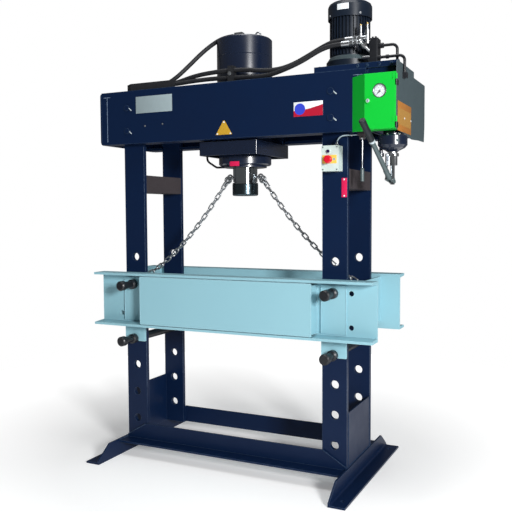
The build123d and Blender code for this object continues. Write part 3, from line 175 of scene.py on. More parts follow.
def surface_group():
    """Shared finish: a colour broken up by soft blotches and fine dust, with bump and roughness to match."""
    tree, inputs, outputs = open_group(
        "worked_surface",
        (
            ("Colour", "NodeSocketColor", (0.5, 0.5, 0.5, 1)),
            ("Second Colour", "NodeSocketColor", (0.4, 0.4, 0.4, 1)),
            ("Blotch Scale", "NodeSocketFloat", 6.0),
            ("Blotch Amount", "NodeSocketFloat", 0.4),
            ("Grain Scale", "NodeSocketFloat", 400.0),
            ("Grain Stretch", "NodeSocketFloat", 1.0),
            ("Bump", "NodeSocketFloat", 0.05),
            ("Roughness", "NodeSocketFloat", 0.4),
            ("Roughness Spread", "NodeSocketFloat", 0.1),
        ),
        (("Colour", "NodeSocketColor"), ("Roughness", "NodeSocketFloat"), ("Normal", "NodeSocketVector")),
    )
    spot = add(tree, "ShaderNodeTexCoord")
    blotch = add(tree, "ShaderNodeTexNoise")
    blotch.inputs["Detail"].default_value = 6
    blotch.inputs["Roughness"].default_value = 0.62
    spread = add(tree, "ShaderNodeMapRange")
    spread.inputs["From Min"].default_value = 0.35
    spread.inputs["From Max"].default_value = 0.7
    amount = add(tree, "ShaderNodeMath", operation="MULTIPLY")
    mix = add(tree, "ShaderNodeMix", data_type="RGBA")
    stretch = add(tree, "ShaderNodeCombineXYZ")
    stretch.inputs["X"].default_value = 1
    stretch.inputs["Y"].default_value = 1
    scaled = add(tree, "ShaderNodeVectorMath", operation="MULTIPLY")
    grain = add(tree, "ShaderNodeTexNoise")
    grain.inputs["Detail"].default_value = 2
    bump = add(tree, "ShaderNodeBump")
    bump.inputs["Distance"].default_value = 0.002
    rough = add(tree, "ShaderNodeMath", operation="MULTIPLY_ADD")
    link = tree.links.new
    link(spot.outputs["Object"], blotch.inputs["Vector"])
    link(inputs.outputs["Blotch Scale"], blotch.inputs["Scale"])
    link(blotch.outputs["Fac"], spread.inputs["Value"])
    link(spread.outputs["Result"], amount.inputs[0])
    link(inputs.outputs["Blotch Amount"], amount.inputs[1])
    link(amount.outputs[0], mix.inputs["Factor"])
    link(inputs.outputs["Colour"], mix.inputs[6])
    link(inputs.outputs["Second Colour"], mix.inputs[7])
    link(inputs.outputs["Grain Stretch"], stretch.inputs["Z"])
    link(spot.outputs["Object"], scaled.inputs[0])
    link(stretch.outputs[0], scaled.inputs[1])
    link(scaled.outputs[0], grain.inputs["Vector"])
    link(inputs.outputs["Grain Scale"], grain.inputs["Scale"])
    link(grain.outputs["Fac"], bump.inputs["Height"])
    link(inputs.outputs["Bump"], bump.inputs["Strength"])
    link(spread.outputs["Result"], rough.inputs[0])
    link(inputs.outputs["Roughness Spread"], rough.inputs[1])
    link(inputs.outputs["Roughness"], rough.inputs[2])
    link(mix.outputs[2], outputs.inputs["Colour"])
    link(rough.outputs[0], outputs.inputs["Roughness"])
    link(bump.outputs["Normal"], outputs.inputs["Normal"])
    return tree


def edge_group():
    """Shared painted highlight: lightens a colour along sharp edges, broken up by a fine noise."""
    tree, inputs, outputs = open_group(
        "edge_wear",
        (
            ("Colour", "NodeSocketColor", (0.5, 0.5, 0.5, 1)),
            ("Edge Colour", "NodeSocketColor", (0.8, 0.8, 0.8, 1)),
            ("Width", "NodeSocketFloat", 0.003),
            ("Amount", "NodeSocketFloat", 0.5),
        ),
        (("Colour", "NodeSocketColor"),),
    )
    rounded = add(tree, "ShaderNodeBevel", samples=6)
    flat = add(tree, "ShaderNodeNewGeometry")
    match = add(tree, "ShaderNodeVectorMath", operation="DOT_PRODUCT")
    edge = add(tree, "ShaderNodeMapRange")
    edge.inputs["From Min"].default_value = 0.985
    edge.inputs["From Max"].default_value = 0.80
    spot = add(tree, "ShaderNodeTexCoord")
    breakup = add(tree, "ShaderNodeTexNoise")
    breakup.inputs["Scale"].default_value = 90
    breakup.inputs["Detail"].default_value = 3
    patchy = add(tree, "ShaderNodeMapRange")
    patchy.inputs["From Min"].default_value = 0.35
    patchy.inputs["From Max"].default_value = 0.55
    patchy.inputs["To Min"].default_value = 0.35
    lit_edge = add(tree, "ShaderNodeMath", operation="MULTIPLY")
    strength = add(tree, "ShaderNodeMath", operation="MULTIPLY")
    mix = add(tree, "ShaderNodeMix", data_type="RGBA")
    link = tree.links.new
    link(inputs.outputs["Width"], rounded.inputs["Radius"])
    link(rounded.outputs["Normal"], match.inputs[0])
    link(flat.outputs["Normal"], match.inputs[1])
    link(match.outputs["Value"], edge.inputs["Value"])
    link(spot.outputs["Object"], breakup.inputs["Vector"])
    link(breakup.outputs["Fac"], patchy.inputs["Value"])
    link(edge.outputs["Result"], lit_edge.inputs[0])
    link(patchy.outputs["Result"], lit_edge.inputs[1])
    link(lit_edge.outputs[0], strength.inputs[0])
    link(inputs.outputs["Amount"], strength.inputs[1])
    link(strength.outputs[0], mix.inputs["Factor"])
    link(inputs.outputs["Colour"], mix.inputs[6])
    link(inputs.outputs["Edge Colour"], mix.inputs[7])
    link(mix.outputs[2], outputs.inputs["Colour"])
    return tree


WORKED_SURFACE = surface_group()
EDGE_HIGHLIGHT = edge_group()


def finish_material(name, colour, second, metallic=0.0, specular=0.5, coat=0.0, edge=None, edge_amount=0.5,
                    edge_width=0.003, **group_values):
    """Material on the shared finish; group_values name the group's inputs with underscores for spaces."""
    material, tree, shader = new_material(name)
    group = add(tree, "ShaderNodeGroup", node_tree=WORKED_SURFACE)
    group.inputs["Colour"].default_value = (*colour, 1)
    group.inputs["Second Colour"].default_value = (*second, 1)
    for key, value in group_values.items():
        group.inputs[key.replace("_", " ")].default_value = value
    shader.inputs["Metallic"].default_value = metallic
    shader.inputs["Specular IOR Level"].default_value = specular
    shader.inputs["Coat Weight"].default_value = coat
    shader.inputs["Coat Roughness"].default_value = 0.12
    coloured = group.outputs["Colour"]
    # Edge: a lighter colour along sharp edges, a painted highlight.
    if edge:
        wear = add(tree, "ShaderNodeGroup", node_tree=EDGE_HIGHLIGHT)
        wear.inputs["Edge Colour"].default_value = (*edge, 1)
        wear.inputs["Amount"].default_value = edge_amount
        wear.inputs["Width"].default_value = edge_width
        tree.links.new(coloured, wear.inputs["Colour"])
        coloured = wear.outputs["Colour"]
    tree.links.new(coloured, shader.inputs["Base Color"])
    tree.links.new(group.outputs["Roughness"], shader.inputs["Roughness"])
    tree.links.new(group.outputs["Normal"], shader.inputs["Normal"])
    return material


# Each edge colour below is a painted highlight along sharp edges.
FINISHES = {
    "frame_paint": finish_material(
        "navy_paint", (0.0034, 0.0125, 0.0440), (0.0024, 0.0092, 0.0350), specular=0.14,
        edge=(0.10, 0.16, 0.24), edge_amount=0.55, edge_width=0.003,
        Blotch_Scale=5, Grain_Scale=260, Bump=0.06, Roughness=0.36, Roughness_Spread=0.10),
    # Ties: a dark brownish grey that is painted shade, for ties that sit in shade between the columns.
    "tie_paint": finish_material(
        "shaded_tie_paint", (0.050, 0.042, 0.046), (0.034, 0.029, 0.033), specular=0.2,
        Blotch_Scale=7, Grain_Scale=260, Bump=0.06, Roughness=0.5, Roughness_Spread=0.10),
    "pin_black": finish_material(
        "black_pin_paint", (0.0080, 0.0090, 0.0120), (0.0140, 0.0150, 0.0190), specular=0.45,
        edge=(0.09, 0.10, 0.12), edge_amount=0.4,
        Blotch_Scale=18, Grain_Scale=420, Bump=0.08, Roughness=0.33, Roughness_Spread=0.14),
    "table_paint": finish_material(
        "pale_blue_paint", (0.268, 0.492, 0.566), (0.246, 0.464, 0.540), specular=0.25,
        edge=(0.62, 0.80, 0.86), edge_amount=0.5, edge_width=0.003,
        Blotch_Scale=4, Grain_Scale=240, Bump=0.05, Roughness=0.42, Roughness_Spread=0.08),
    "cylinder_paint": finish_material(
        "cylinder_paint", (0.0042, 0.0100, 0.0290), (0.0030, 0.0072, 0.0215), specular=0.55, coat=0.4,
        edge=(0.10, 0.13, 0.20), edge_amount=0.4,
        Blotch_Scale=5, Grain_Scale=200, Bump=0.05, Roughness=0.24, Roughness_Spread=0.08),
    "door_paint": finish_material(
        "green_paint", (0.0060, 0.500, 0.040), (0.0050, 0.462, 0.035), specular=0.12,
        edge=(0.12, 0.70, 0.22), edge_amount=0.5, edge_width=0.002,
        Blotch_Scale=4, Grain_Scale=300, Bump=0.04, Roughness=0.42, Roughness_Spread=0.06),
    "side_plate_paint": finish_material(
        "grey_paint", (0.062, 0.088, 0.098), (0.052, 0.075, 0.085), specular=0.25,
        edge=(0.30, 0.34, 0.36), edge_amount=0.5, edge_width=0.002,
        Blotch_Scale=5, Grain_Scale=300, Bump=0.05, Roughness=0.48, Roughness_Spread=0.08),
    "motor_paint": finish_material(
        "black_paint", (0.0045, 0.0100, 0.0210), (0.0070, 0.0140, 0.0270), specular=0.35, coat=0.2,
        edge=(0.08, 0.09, 0.12), edge_amount=0.4, edge_width=0.002,
        Blotch_Scale=9, Grain_Scale=240, Bump=0.08, Roughness=0.32, Roughness_Spread=0.12),
    "chrome_rod": finish_material(
        "chrome", (0.44, 0.49, 0.52), (0.30, 0.34, 0.36), metallic=1,
        Blotch_Scale=14, Grain_Scale=500, Grain_Stretch=20, Bump=0.03, Roughness=0.08, Roughness_Spread=0.08),
    "bright_steel": finish_material(
        "turned_steel", (0.085, 0.120, 0.140), (0.060, 0.085, 0.100), metallic=1,
        Blotch_Scale=14, Grain_Scale=500, Grain_Stretch=12, Bump=0.06, Roughness=0.20, Roughness_Spread=0.10),
    "zinc": finish_material(
        "zinc_plate", (0.50, 0.52, 0.54), (0.34, 0.36, 0.38), metallic=1,
        Blotch_Scale=40, Grain_Scale=700, Bump=0.05, Roughness=0.28, Roughness_Spread=0.16),
    "black_rubber": finish_material(
        "hose_rubber", (0.012, 0.013, 0.016), (0.020, 0.021, 0.024), specular=0.35,
        Blotch_Scale=30, Grain_Scale=900, Bump=0.12, Roughness=0.50, Roughness_Spread=0.10),
    "grip_plastic": finish_material(
        "grip_rubber", (0.010, 0.013, 0.017), (0.016, 0.020, 0.024), specular=0.35,
        Blotch_Scale=30, Grain_Scale=700, Bump=0.15, Roughness=0.45, Roughness_Spread=0.12),
    "lever_grey": finish_material(
        "grey_lever_paint", (0.075, 0.105, 0.110), (0.055, 0.080, 0.086), specular=0.5,
        edge=(0.30, 0.34, 0.34), edge_amount=0.5,
        Blotch_Scale=16, Grain_Scale=420, Bump=0.06, Roughness=0.32, Roughness_Spread=0.10),
    "box_plastic": finish_material(
        "box_plastic", (0.590, 0.688, 0.656), (0.540, 0.640, 0.610), specular=0.3,
        Blotch_Scale=6, Grain_Scale=500, Bump=0.06, Roughness=0.45, Roughness_Spread=0.08),
    "cable_grey": finish_material(
        "cable_sheath", (0.300, 0.380, 0.420), (0.240, 0.310, 0.350),
        Blotch_Scale=30, Grain_Scale=600, Bump=0.05, Roughness=0.45, Roughness_Spread=0.08),
    "stop_red": finish_material(
        "stop_red", (0.640, 0.004, 0.022), (0.560, 0.003, 0.018), coat=0.3,
        Blotch_Scale=20, Grain_Scale=500, Bump=0.02, Roughness=0.30, Roughness_Spread=0.06),
    "start_dark": finish_material(
        "start_dark", (0.020, 0.006, 0.060), (0.014, 0.005, 0.040), coat=0.3,
        Blotch_Scale=20, Grain_Scale=500, Bump=0.02, Roughness=0.30, Roughness_Spread=0.06),
    "gauge_white": finish_material(
        "gauge_case", (0.22, 0.24, 0.26), (0.16, 0.18, 0.20), metallic=0.8,
        Blotch_Scale=20, Grain_Scale=500, Bump=0.03, Roughness=0.28, Roughness_Spread=0.08),
    "needle_black": finish_material(
        "needle_black", (0.006, 0.006, 0.008), (0.010, 0.010, 0.012),
        Blotch_Scale=20, Grain_Scale=500, Bump=0.02, Roughness=0.4, Roughness_Spread=0.05),
}


def plate_finish(name, colour, metallic=0.0, roughness=0.42, stretch=1.0, bump=0.04, specular=0.3):
    """Finish of a small plate or label: one colour with fine mottling."""
    second = tuple(0.86 * value for value in colour)
    return finish_material(
        name, colour, second, metallic=metallic, specular=specular, Blotch_Scale=24, Grain_Scale=500,
        Grain_Stretch=stretch, Bump=bump, Roughness=roughness, Roughness_Spread=0.10)


SILVER_PLATE = plate_finish("silver_plate", (0.40, 0.50, 0.53), metallic=0.35, stretch=0.05)
GOLD_PLATE = plate_finish("gold_plate", (0.53, 0.31, 0.026))
YELLOW_PLATE = plate_finish("yellow_plate", (0.90, 0.52, 0.08))
ORANGE_PLATE = plate_finish("orange_plate", (0.41, 0.162, 0.032))
OCHRE_PLATE = plate_finish("ochre_plate", (0.42, 0.22, 0.05))
WHITE_PLATE = plate_finish("white_plate", (0.80, 0.84, 0.86))
RED_PLATE = plate_finish("red_plate", (0.42, 0.008, 0.030))
BLUE_PLATE = plate_finish("blue_plate", (0.035, 0.060, 0.56))
ROSE_PLATE = plate_finish("rose_plate", (0.66, 0.012, 0.085))
DIAL_WHITE = plate_finish("dial_white", (0.80, 0.86, 0.88), bump=0.01)
DIAL_BLACK = plate_finish("dial_black", (0.02, 0.022, 0.03), bump=0.01)
CLIP_BRIGHT = plate_finish("clip_plating", (0.52, 0.60, 0.64), metallic=0.3, roughness=0.3)
BRASS = plate_finish("brass", (0.62, 0.44, 0.16), metallic=1, roughness=0.28)
# Lighter navy of the beam seams and column edges: a painted highlight.
SEAM_HIGHLIGHT = plate_finish("rubbed_paint", (0.16, 0.22, 0.32), roughness=0.5)


def glass_finish():
    """Clear pane: mostly see-through, with a clean reflection and a trace of dust."""
    material, tree, shader = new_material("gauge_glass")
    spot = add(tree, "ShaderNodeTexCoord")
    dust = add(tree, "ShaderNodeTexNoise")
    dust.inputs["Scale"].default_value = 300
    clear = add(tree, "ShaderNodeMapRange")
    clear.inputs["To Min"].default_value = 0.05
    clear.inputs["To Max"].default_value = 0.12
    tree.links.new(spot.outputs["Object"], dust.inputs["Vector"])
    tree.links.new(dust.outputs["Fac"], clear.inputs["Value"])
    tree.links.new(clear.outputs["Result"], shader.inputs["Alpha"])
    shader.inputs["Base Color"].default_value = (0.9, 0.95, 0.97, 1)
    shader.inputs["Roughness"].default_value = 0.05
    return material


GAUGE_GLASS = glass_finish()
slot_of = {entry["node"]: entry["material_slot"] for entry in frame["record"]["subparts"]}


def dress_nodes():
    """Gives each CAD node the finish of its slot, apart from the few that look different on the machine."""
    for name, item in nodes.items():
        slot = NODE_FINISHES.get(name, slot_of[name])
        item.data.materials.clear()
        item.data.materials.append(FINISHES[slot])


# Hoses and cable: radius and control points of the routes, in millimetres
ROUTES = {
    "hose_upper": (12.0, [
        (676, -222, 2279), (614, -222, 2279), (545, -215, 2257), (468, -208, 2223), (385, -205, 2189),
        (300, -206, 2170), (210, -214, 2172), (120, -221, 2184), (30, -222, 2189), (-70, -222, 2188),
        (-185, -222, 2180), (-285, -223, 2158), (-380, -224, 2138), (-480, -223, 2136.5),
        (-575, -225, 2137)]),
    "hose_lower": (12.0, [
        (662, -240, 2256), (604, -240, 2256), (534, -241, 2235), (450, -241, 2193), (360, -240, 2163),
        (270, -234, 2141), (185, -226, 2140), (100, -222, 2147), (20, -222, 2149), (-75, -223, 2153),
        (-180, -237, 2149), (-285, -248, 2140), (-385, -251, 2137), (-485, -249.5, 2137),
        (-580, -251, 2137)]),
    "hose_port": (12.0, [
        (-40.5, -60, 2413), (-98, -61, 2411), (-158, -71, 2384), (-222, -100, 2330), (-290, -142, 2250),
        (-350, -178, 2185), (-425, -196, 2143), (-505, -197.5, 2136.5), (-582, -196.5, 2137)]),
    "control_cable": (3.5, [
        (640, -246, 1755), (640, -246, 1776), (650.3, -244.1, 1794.2), (668.2, -240.7, 1804.7),
        (707, -233, 1806), (745.5, -228, 1806)]),
}


def baked(item):
    """Plain mesh of an object with its modifiers or curve applied."""
    bpy.context.view_layer.update()
    graph = bpy.context.evaluated_depsgraph_get()
    return bpy.data.meshes.new_from_object(item.evaluated_get(graph))


def route_curve(name, radius, route):
    """Curve object along a smooth spline with the route's points as its control points."""
    curve = bpy.data.curves.new(name, "CURVE")
    curve.dimensions = "3D"
    curve.bevel_depth = radius * MM
    curve.bevel_resolution = 5
    curve.resolution_u = 10
    curve.use_fill_caps = True
    spline = curve.splines.new("NURBS")
    spline.points.add(len(route) - 1)
    for point, place in zip(spline.points, route):
        point.co = (*(Vector(place) * MM), 1)
    spline.order_u = 3
    spline.use_endpoint_u = True
    line = bpy.data.objects.new(name, curve)
    bpy.context.collection.objects.link(line)
    return line


def lay_line(name, radius, route):
    """Hose or cable on a smooth curve along its route, in place of the CAD tube."""
    line = route_curve(name + "_line", radius, route)
    bare = route_curve(name + "_centre", 0, route)
    centre = [vertex.co.copy() for vertex in baked(bare).vertices]
    bpy.data.objects.remove(bare)
    length = sum((after - before).length for before, after in zip(centre, centre[1:]))
    facts = dict(
        exit=tuple(centre[0]), length=length, diameter=2 * radius * MM,
        far_end="object", stiffness="stiff", lay="loose")
    if name == "hose_port":
        tube = bpy.data.objects.new(name + "_tube", baked(line))
        bpy.data.objects.remove(line)
        bpy.context.collection.objects.link(tube)
        line = tube
        facts["path"] = [tuple(point) for point in centre]
    line.data.materials.clear()
    line.data.materials.append(FINISHES[slot_of[name]])
    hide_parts(name)
    if name == "hose_port":
        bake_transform(line)
    else:
        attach(line, "frame")
    return line


# Shapes, in millimetres, added to a mesh that is being built
def slab(shape, x_span, y_span, z_span, bevel=0.0):
    """Cuboid between two values on each axis, its edges bevelled."""
    spans = (x_span, y_span, z_span)
    centre = Vector([(low + high) / 2 for low, high in spans])
    size = Vector([high - low for low, high in spans])
    corners = bmesh.ops.create_cube(shape, size=1)["verts"]
    bmesh.ops.scale(shape, vec=size * MM, verts=corners)
    bmesh.ops.translate(shape, vec=centre * MM, verts=corners)
    if bevel:
        edges = list({edge for corner in corners for edge in corner.link_edges})
        bmesh.ops.bevel(shape, geom=edges, offset=bevel * MM, segments=2, affect="EDGES", profile=0.5)


def turned(shape, profile, centre, along, sides=32, bore=False):
    """Turned form from (radius, height) points, foot to top, about a line; a bore closes the outline."""
    turn = Vector(along).to_track_quat("Z", "Y")
    rings = []
    for radius, height in profile:
        ring = []
        for step in range(sides):
            angle = 2 * math.pi * step / sides
            spot = Vector((radius * math.cos(angle), radius * math.sin(angle), height))
            ring.append(shape.verts.new((Vector(centre) + turn @ spot) * MM))
        rings.append(ring)
    pairs = list(zip(rings, rings[1:]))
    if bore:
        pairs.append((rings[-1], rings[0]))
    for low, high in pairs:
        for step in range(sides):
            after = (step + 1) % sides
            shape.faces.new((low[step], low[after], high[after], high[step]))
    if not bore:
        shape.faces.new(list(reversed(rings[0])))
        shape.faces.new(rings[-1])


def outline(shape, points, face, thick, facing=-1):
    """Flat plate from an (x, z) outline on a front face, standing proud of it by its thickness."""
    front = [shape.verts.new(Vector((x, face + facing * thick, z)) * MM) for x, z in points]
    back = [shape.verts.new(Vector((x, face, z)) * MM) for x, z in points]
    shape.faces.new(front)
    shape.faces.new(list(reversed(back)))
    for step in range(len(points)):
        after = (step + 1) % len(points)
        shape.faces.new((front[step], back[step], back[after], front[after]))


def curved_plate(shape, centre, radius, thick, turns, z_span, steps=10):
    """Label bent round an upright cylinder between two angles in degrees."""
    rings = []
    for step in range(steps + 1):
        angle = math.radians(turns[0] + (turns[1] - turns[0]) * step / steps)
        way = Vector((math.cos(angle), math.sin(angle), 0))
        column = []
        for reach, height in ((radius, z_span[0]), (radius + thick, z_span[0]),
                              (radius + thick, z_span[1]), (radius, z_span[1])):
            place = Vector((*centre, height)) + way * reach
            column.append(shape.verts.new(place * MM))
        rings.append(column)
    for before, after in zip(rings, rings[1:]):
        for corner in range(4):
            beside = (corner + 1) % 4
            shape.faces.new((before[corner], before[beside], after[beside], after[corner]))
    shape.faces.new(list(reversed(rings[0])))
    shape.faces.new(rings[-1])


def settle(name, mesh, finish, body):
    """Object of a finished mesh, with its material, on its body."""
    mesh.materials.clear()
    mesh.materials.append(finish)
    mesh.shade_smooth()
    mesh.set_sharp_from_angle(angle=math.radians(35))
    piece = bpy.data.objects.new(name, mesh)
    bpy.context.collection.objects.link(piece)
    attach(piece, body)
    return piece


def finish_piece(name, shape, finish, body="frame"):
    """Object of a mesh that was built from shapes."""
    bmesh.ops.recalc_face_normals(shape, faces=shape.faces)
    mesh = bpy.data.meshes.new(name)
    shape.to_mesh(mesh)
    shape.free()
    return settle(name, mesh, finish, body)


def slab_piece(name, finish, x_span, y_span, z_span, bevel=0.0, body="frame"):
    """Piece that is one slab."""
    shape = bmesh.new()
    slab(shape, x_span, y_span, z_span, bevel)
    return finish_piece(name, shape, finish, body)


def turned_piece(name, finish, profile, centre, along, sides, bore=False, body="frame"):
    """Piece that is one turned form."""
    shape = bmesh.new()
    turned(shape, profile, centre, along, sides, bore)
    return finish_piece(name, shape, finish, body)


# Geometry nodes
def open_tree(name, inputs):
    """Empty geometry tree with named inputs, and its two end nodes."""
    tree = bpy.data.node_groups.new(name, "GeometryNodeTree")
    tree.interface.new_socket("Geometry", in_out="INPUT", socket_type="NodeSocketGeometry")
    for title, kind, default in inputs:
        socket = tree.interface.new_socket(title, in_out="INPUT", socket_type=kind)
        if default is not None:
            socket.default_value = default
    tree.interface.new_socket("Geometry", in_out="OUTPUT", socket_type="NodeSocketGeometry")
    return tree, add(tree, "NodeGroupInput"), add(tree, "NodeGroupOutput")


def finish_tree(tree, inputs, outputs, last):
    """Ends a tree: real geometry and the material."""
    link = tree.links.new
    real = add(tree, "GeometryNodeRealizeInstances")
    coat = add(tree, "GeometryNodeSetMaterial")
    link(last, real.inputs["Geometry"])
    link(real.outputs["Geometry"], coat.inputs["Geometry"])
    link(inputs.outputs["Material"], coat.inputs["Material"])
    link(coat.outputs["Geometry"], outputs.inputs["Geometry"])
    return tree


def head_tree():
    """Bolt or rivet heads on the points of a mesh, each on a washer and turned to the point's facing."""
    tree, inputs, outputs = open_tree("fastener_heads", (
        ("Radius", "NodeSocketFloat", 0.01),
        ("Height", "NodeSocketFloat", 0.006),
        ("Top Share", "NodeSocketFloat", 0.85),
        ("Sides", "NodeSocketInt", 6),
        ("Washer Radius", "NodeSocketFloat", 0.014),
        ("Washer Height", "NodeSocketFloat", 0.0015),
        ("Material", "NodeSocketMaterial", None),
    ))
    link = tree.links.new
    head = add(tree, "GeometryNodeMeshCone")
    top = add(tree, "ShaderNodeMath", operation="MULTIPLY")
    washer = add(tree, "GeometryNodeMeshCone")
    washer.inputs["Vertices"].default_value = 24
    both = add(tree, "GeometryNodeJoinGeometry")
    facing = add(tree, "GeometryNodeInputNamedAttribute", data_type="FLOAT_VECTOR")
    facing.inputs["Name"].default_value = "facing"
    turn = add(tree, "FunctionNodeAlignRotationToVector", axis="Z")
    spread = add(tree, "GeometryNodeInstanceOnPoints")
    link(inputs.outputs["Radius"], top.inputs[0])
    link(inputs.outputs["Top Share"], top.inputs[1])
    link(inputs.outputs["Sides"], head.inputs["Vertices"])
    link(inputs.outputs["Radius"], head.inputs["Radius Bottom"])
    link(top.outputs[0], head.inputs["Radius Top"])
    link(inputs.outputs["Height"], head.inputs["Depth"])
    link(inputs.outputs["Washer Radius"], washer.inputs["Radius Bottom"])
    link(inputs.outputs["Washer Radius"], washer.inputs["Radius Top"])
    link(inputs.outputs["Washer Height"], washer.inputs["Depth"])
    link(head.outputs["Mesh"], both.inputs["Geometry"])
    link(washer.outputs["Mesh"], both.inputs["Geometry"])
    link(inputs.outputs["Geometry"], spread.inputs["Points"])
    link(both.outputs["Geometry"], spread.inputs["Instance"])
    link(facing.outputs["Attribute"], turn.inputs["Vector"])
    link(turn.outputs["Rotation"], spread.inputs["Rotation"])
    return finish_tree(tree, inputs, outputs, spread.outputs["Instances"])


def bead_tree():
    """Weld bead along the edges of a mesh: overlapping ripples, a little uneven in size."""
    tree, inputs, outputs = open_tree("weld_bead", (
        ("Radius", "NodeSocketFloat", 0.004),
        ("Pitch", "NodeSocketFloat", 0.005),
        ("Seed", "NodeSocketInt", 3),
        ("Material", "NodeSocketMaterial", None),
    ))
    link = tree.links.new
    path = add(tree, "GeometryNodeMeshToCurve")
    steps = add(tree, "GeometryNodeResampleCurve", mode="LENGTH")
    ripple = add(tree, "GeometryNodeMeshIcoSphere")
    ripple.inputs["Subdivisions"].default_value = 1
    size = add(tree, "FunctionNodeRandomValue", data_type="FLOAT")
    size.inputs[2].default_value = 0.8
    size.inputs[3].default_value = 1.15
    spread = add(tree, "GeometryNodeInstanceOnPoints")
    smooth = add(tree, "GeometryNodeSetShadeSmooth")
    link(inputs.outputs["Geometry"], path.inputs["Mesh"])
    link(path.outputs["Curve"], steps.inputs["Curve"])
    link(inputs.outputs["Pitch"], steps.inputs["Length"])
    link(inputs.outputs["Radius"], ripple.inputs["Radius"])
    link(inputs.outputs["Seed"], size.inputs["Seed"])
    link(steps.outputs["Curve"], spread.inputs["Points"])
    link(ripple.outputs["Mesh"], smooth.inputs["Geometry"])
    link(smooth.outputs["Geometry"], spread.inputs["Instance"])
    link(size.outputs[1], spread.inputs["Scale"])
    return finish_tree(tree, inputs, outputs, spread.outputs["Instances"])


def mark_tree():
    """Marks of a dial: bars set round an arc that faces the front."""
    tree, inputs, outputs = open_tree("dial_marks", (
        ("Radius", "NodeSocketFloat", 0.024),
        ("Count", "NodeSocketInt", 11),
        ("Mark Size", "NodeSocketVector", (0.001, 0.004, 0.0004)),
        ("Start", "NodeSocketFloat", 0.0),
        ("Sweep", "NodeSocketFloat", 4.7),
        ("Centre", "NodeSocketVector", (0.0, 0.0, 0.0)),
        ("Material", "NodeSocketMaterial", None),
    ))
    link = tree.links.new
    arc = add(tree, "GeometryNodeCurveArc", mode="RADIUS")
    bar = add(tree, "GeometryNodeMeshCube")
    spot = add(tree, "GeometryNodeInputPosition")
    turn = add(tree, "FunctionNodeAlignRotationToVector", axis="Y")
    spread = add(tree, "GeometryNodeInstanceOnPoints")
    stand = add(tree, "GeometryNodeTransform")
    stand.inputs["Rotation"].default_value = (math.pi / 2, 0, 0)
    link(inputs.outputs["Count"], arc.inputs["Resolution"])
    link(inputs.outputs["Radius"], arc.inputs["Radius"])
    link(inputs.outputs["Start"], arc.inputs["Start Angle"])
    link(inputs.outputs["Sweep"], arc.inputs["Sweep Angle"])
    link(inputs.outputs["Mark Size"], bar.inputs["Size"])
    link(spot.outputs["Position"], turn.inputs["Vector"])
    link(arc.outputs["Curve"], spread.inputs["Points"])
    link(bar.outputs["Mesh"], spread.inputs["Instance"])
    link(turn.outputs["Rotation"], spread.inputs["Rotation"])
    link(spread.outputs["Instances"], stand.inputs["Geometry"])
    link(inputs.outputs["Centre"], stand.inputs["Translation"])
    return finish_tree(tree, inputs, outputs, stand.outputs["Geometry"])


HEADS = head_tree()
BEADS = bead_tree()
MARKS = mark_tree()


def grow(name, seed_mesh, tree, finish, slot, body, **values):
    """Piece that a geometry tree makes from a seed mesh; values name the tree's inputs."""
    seed = bpy.data.objects.new(name + "_seed", seed_mesh)
    bpy.context.collection.objects.link(seed)
    modifier = seed.modifiers.new("tree", "NODES")
    modifier.node_group = tree
    values["Material"] = finish
    for item in tree.interface.items_tree:
        key = item.name.replace(" ", "_")
        if item.in_out == "INPUT" and key in values:
            modifier[item.identifier] = values[key]
    mesh = baked(seed)
    bpy.data.objects.remove(seed)
    return settle(name, mesh, finish, body)


def heads(name, places, radius, height, finish, slot, body="frame", sides=6, top=0.86, washer=1.35):
    """Fasteners at (place, facing) pairs in millimetres."""
    seed = bpy.data.meshes.new(name + "_places")
    seed.from_pydata([Vector(place) * MM for place, facing in places], [], [])
    facings = seed.attributes.new("facing", "FLOAT_VECTOR", "POINT")
    for entry, (place, facing) in zip(facings.data, places):
        entry.vector = facing
    return grow(
        name, seed, HEADS, finish, slot, body, Radius=radius * MM, Height=height * MM, Top_Share=top,
        Sides=sides, Washer_Radius=washer * radius * MM, Washer_Height=1.2 * MM)


def beads(name, runs, radius, finish, slot, body="frame", pitch=5.0):
    """Weld beads along straight runs, each from one place to another in millimetres."""
    points = [Vector(place) * MM for run in runs for place in run]
    edges = [(2 * step, 2 * step + 1) for step in range(len(runs))]
    seed = bpy.data.meshes.new(name + "_runs")
    seed.from_pydata(points, edges, [])
    return grow(name, seed, BEADS, finish, slot, body, Radius=radius * MM, Pitch=pitch * MM, Seed=3)


# Plates and labels, without lettering
def rivets(name, places, radius, height):
    """Small pale domed rivets of a plate."""
    heads(name, places, radius, height, WHITE_PLATE, "zinc", sides=16, top=0.5, washer=1.05)


def load_plate():
    """White plate with a curved band and a round spot, all plain colour."""
    (left, right), (foot, top) = LOAD_PLATE_X, LOAD_PLATE_Z
    band_face = BEAM_FACE - 0.8
    slab_piece("load_plate", WHITE_PLATE,
               (left, right), (band_face, BEAM_FACE), (foot, top), bevel=0.3)
    shape = bmesh.new()
    rise = []
    for step in range(BAND_STEPS + 1):
        share = step / BAND_STEPS
        rise.append((right - (right - left) * share, BAND_TOP - BAND_FALL * math.sin(math.pi / 2 * share)))
    outline(shape, [(left, foot), (right, foot)] + rise, band_face, 0.3)
    finish_piece("load_plate_band", shape, RED_PLATE)
    shape = bmesh.new()
    turned(shape, [(29, 0), (29, 0.4)], (452, band_face - 0.3, 1945), FRONT, sides=48)
    finish_piece("load_plate_spot", shape, BLUE_PLATE)


def side_label():
    """Label on the side plate of the power unit, with a darker field and two rivets."""
    skin, field = SIDE_FACE + 1, SIDE_FACE + 1.3
    slab_piece("side_label", ORANGE_PLATE,
               (SIDE_FACE, skin), (-315, -52), (1808, 1948), bevel=0.3)
    slab_piece("side_label_field", OCHRE_PLATE, (skin, field), (-306, -62), (1838, 1916))
    rivets("side_rivets", [((field, -187, 1877), (1, 0, 0)), ((skin, -60, 1878), (1, 0, 0))], 4.5, 2)


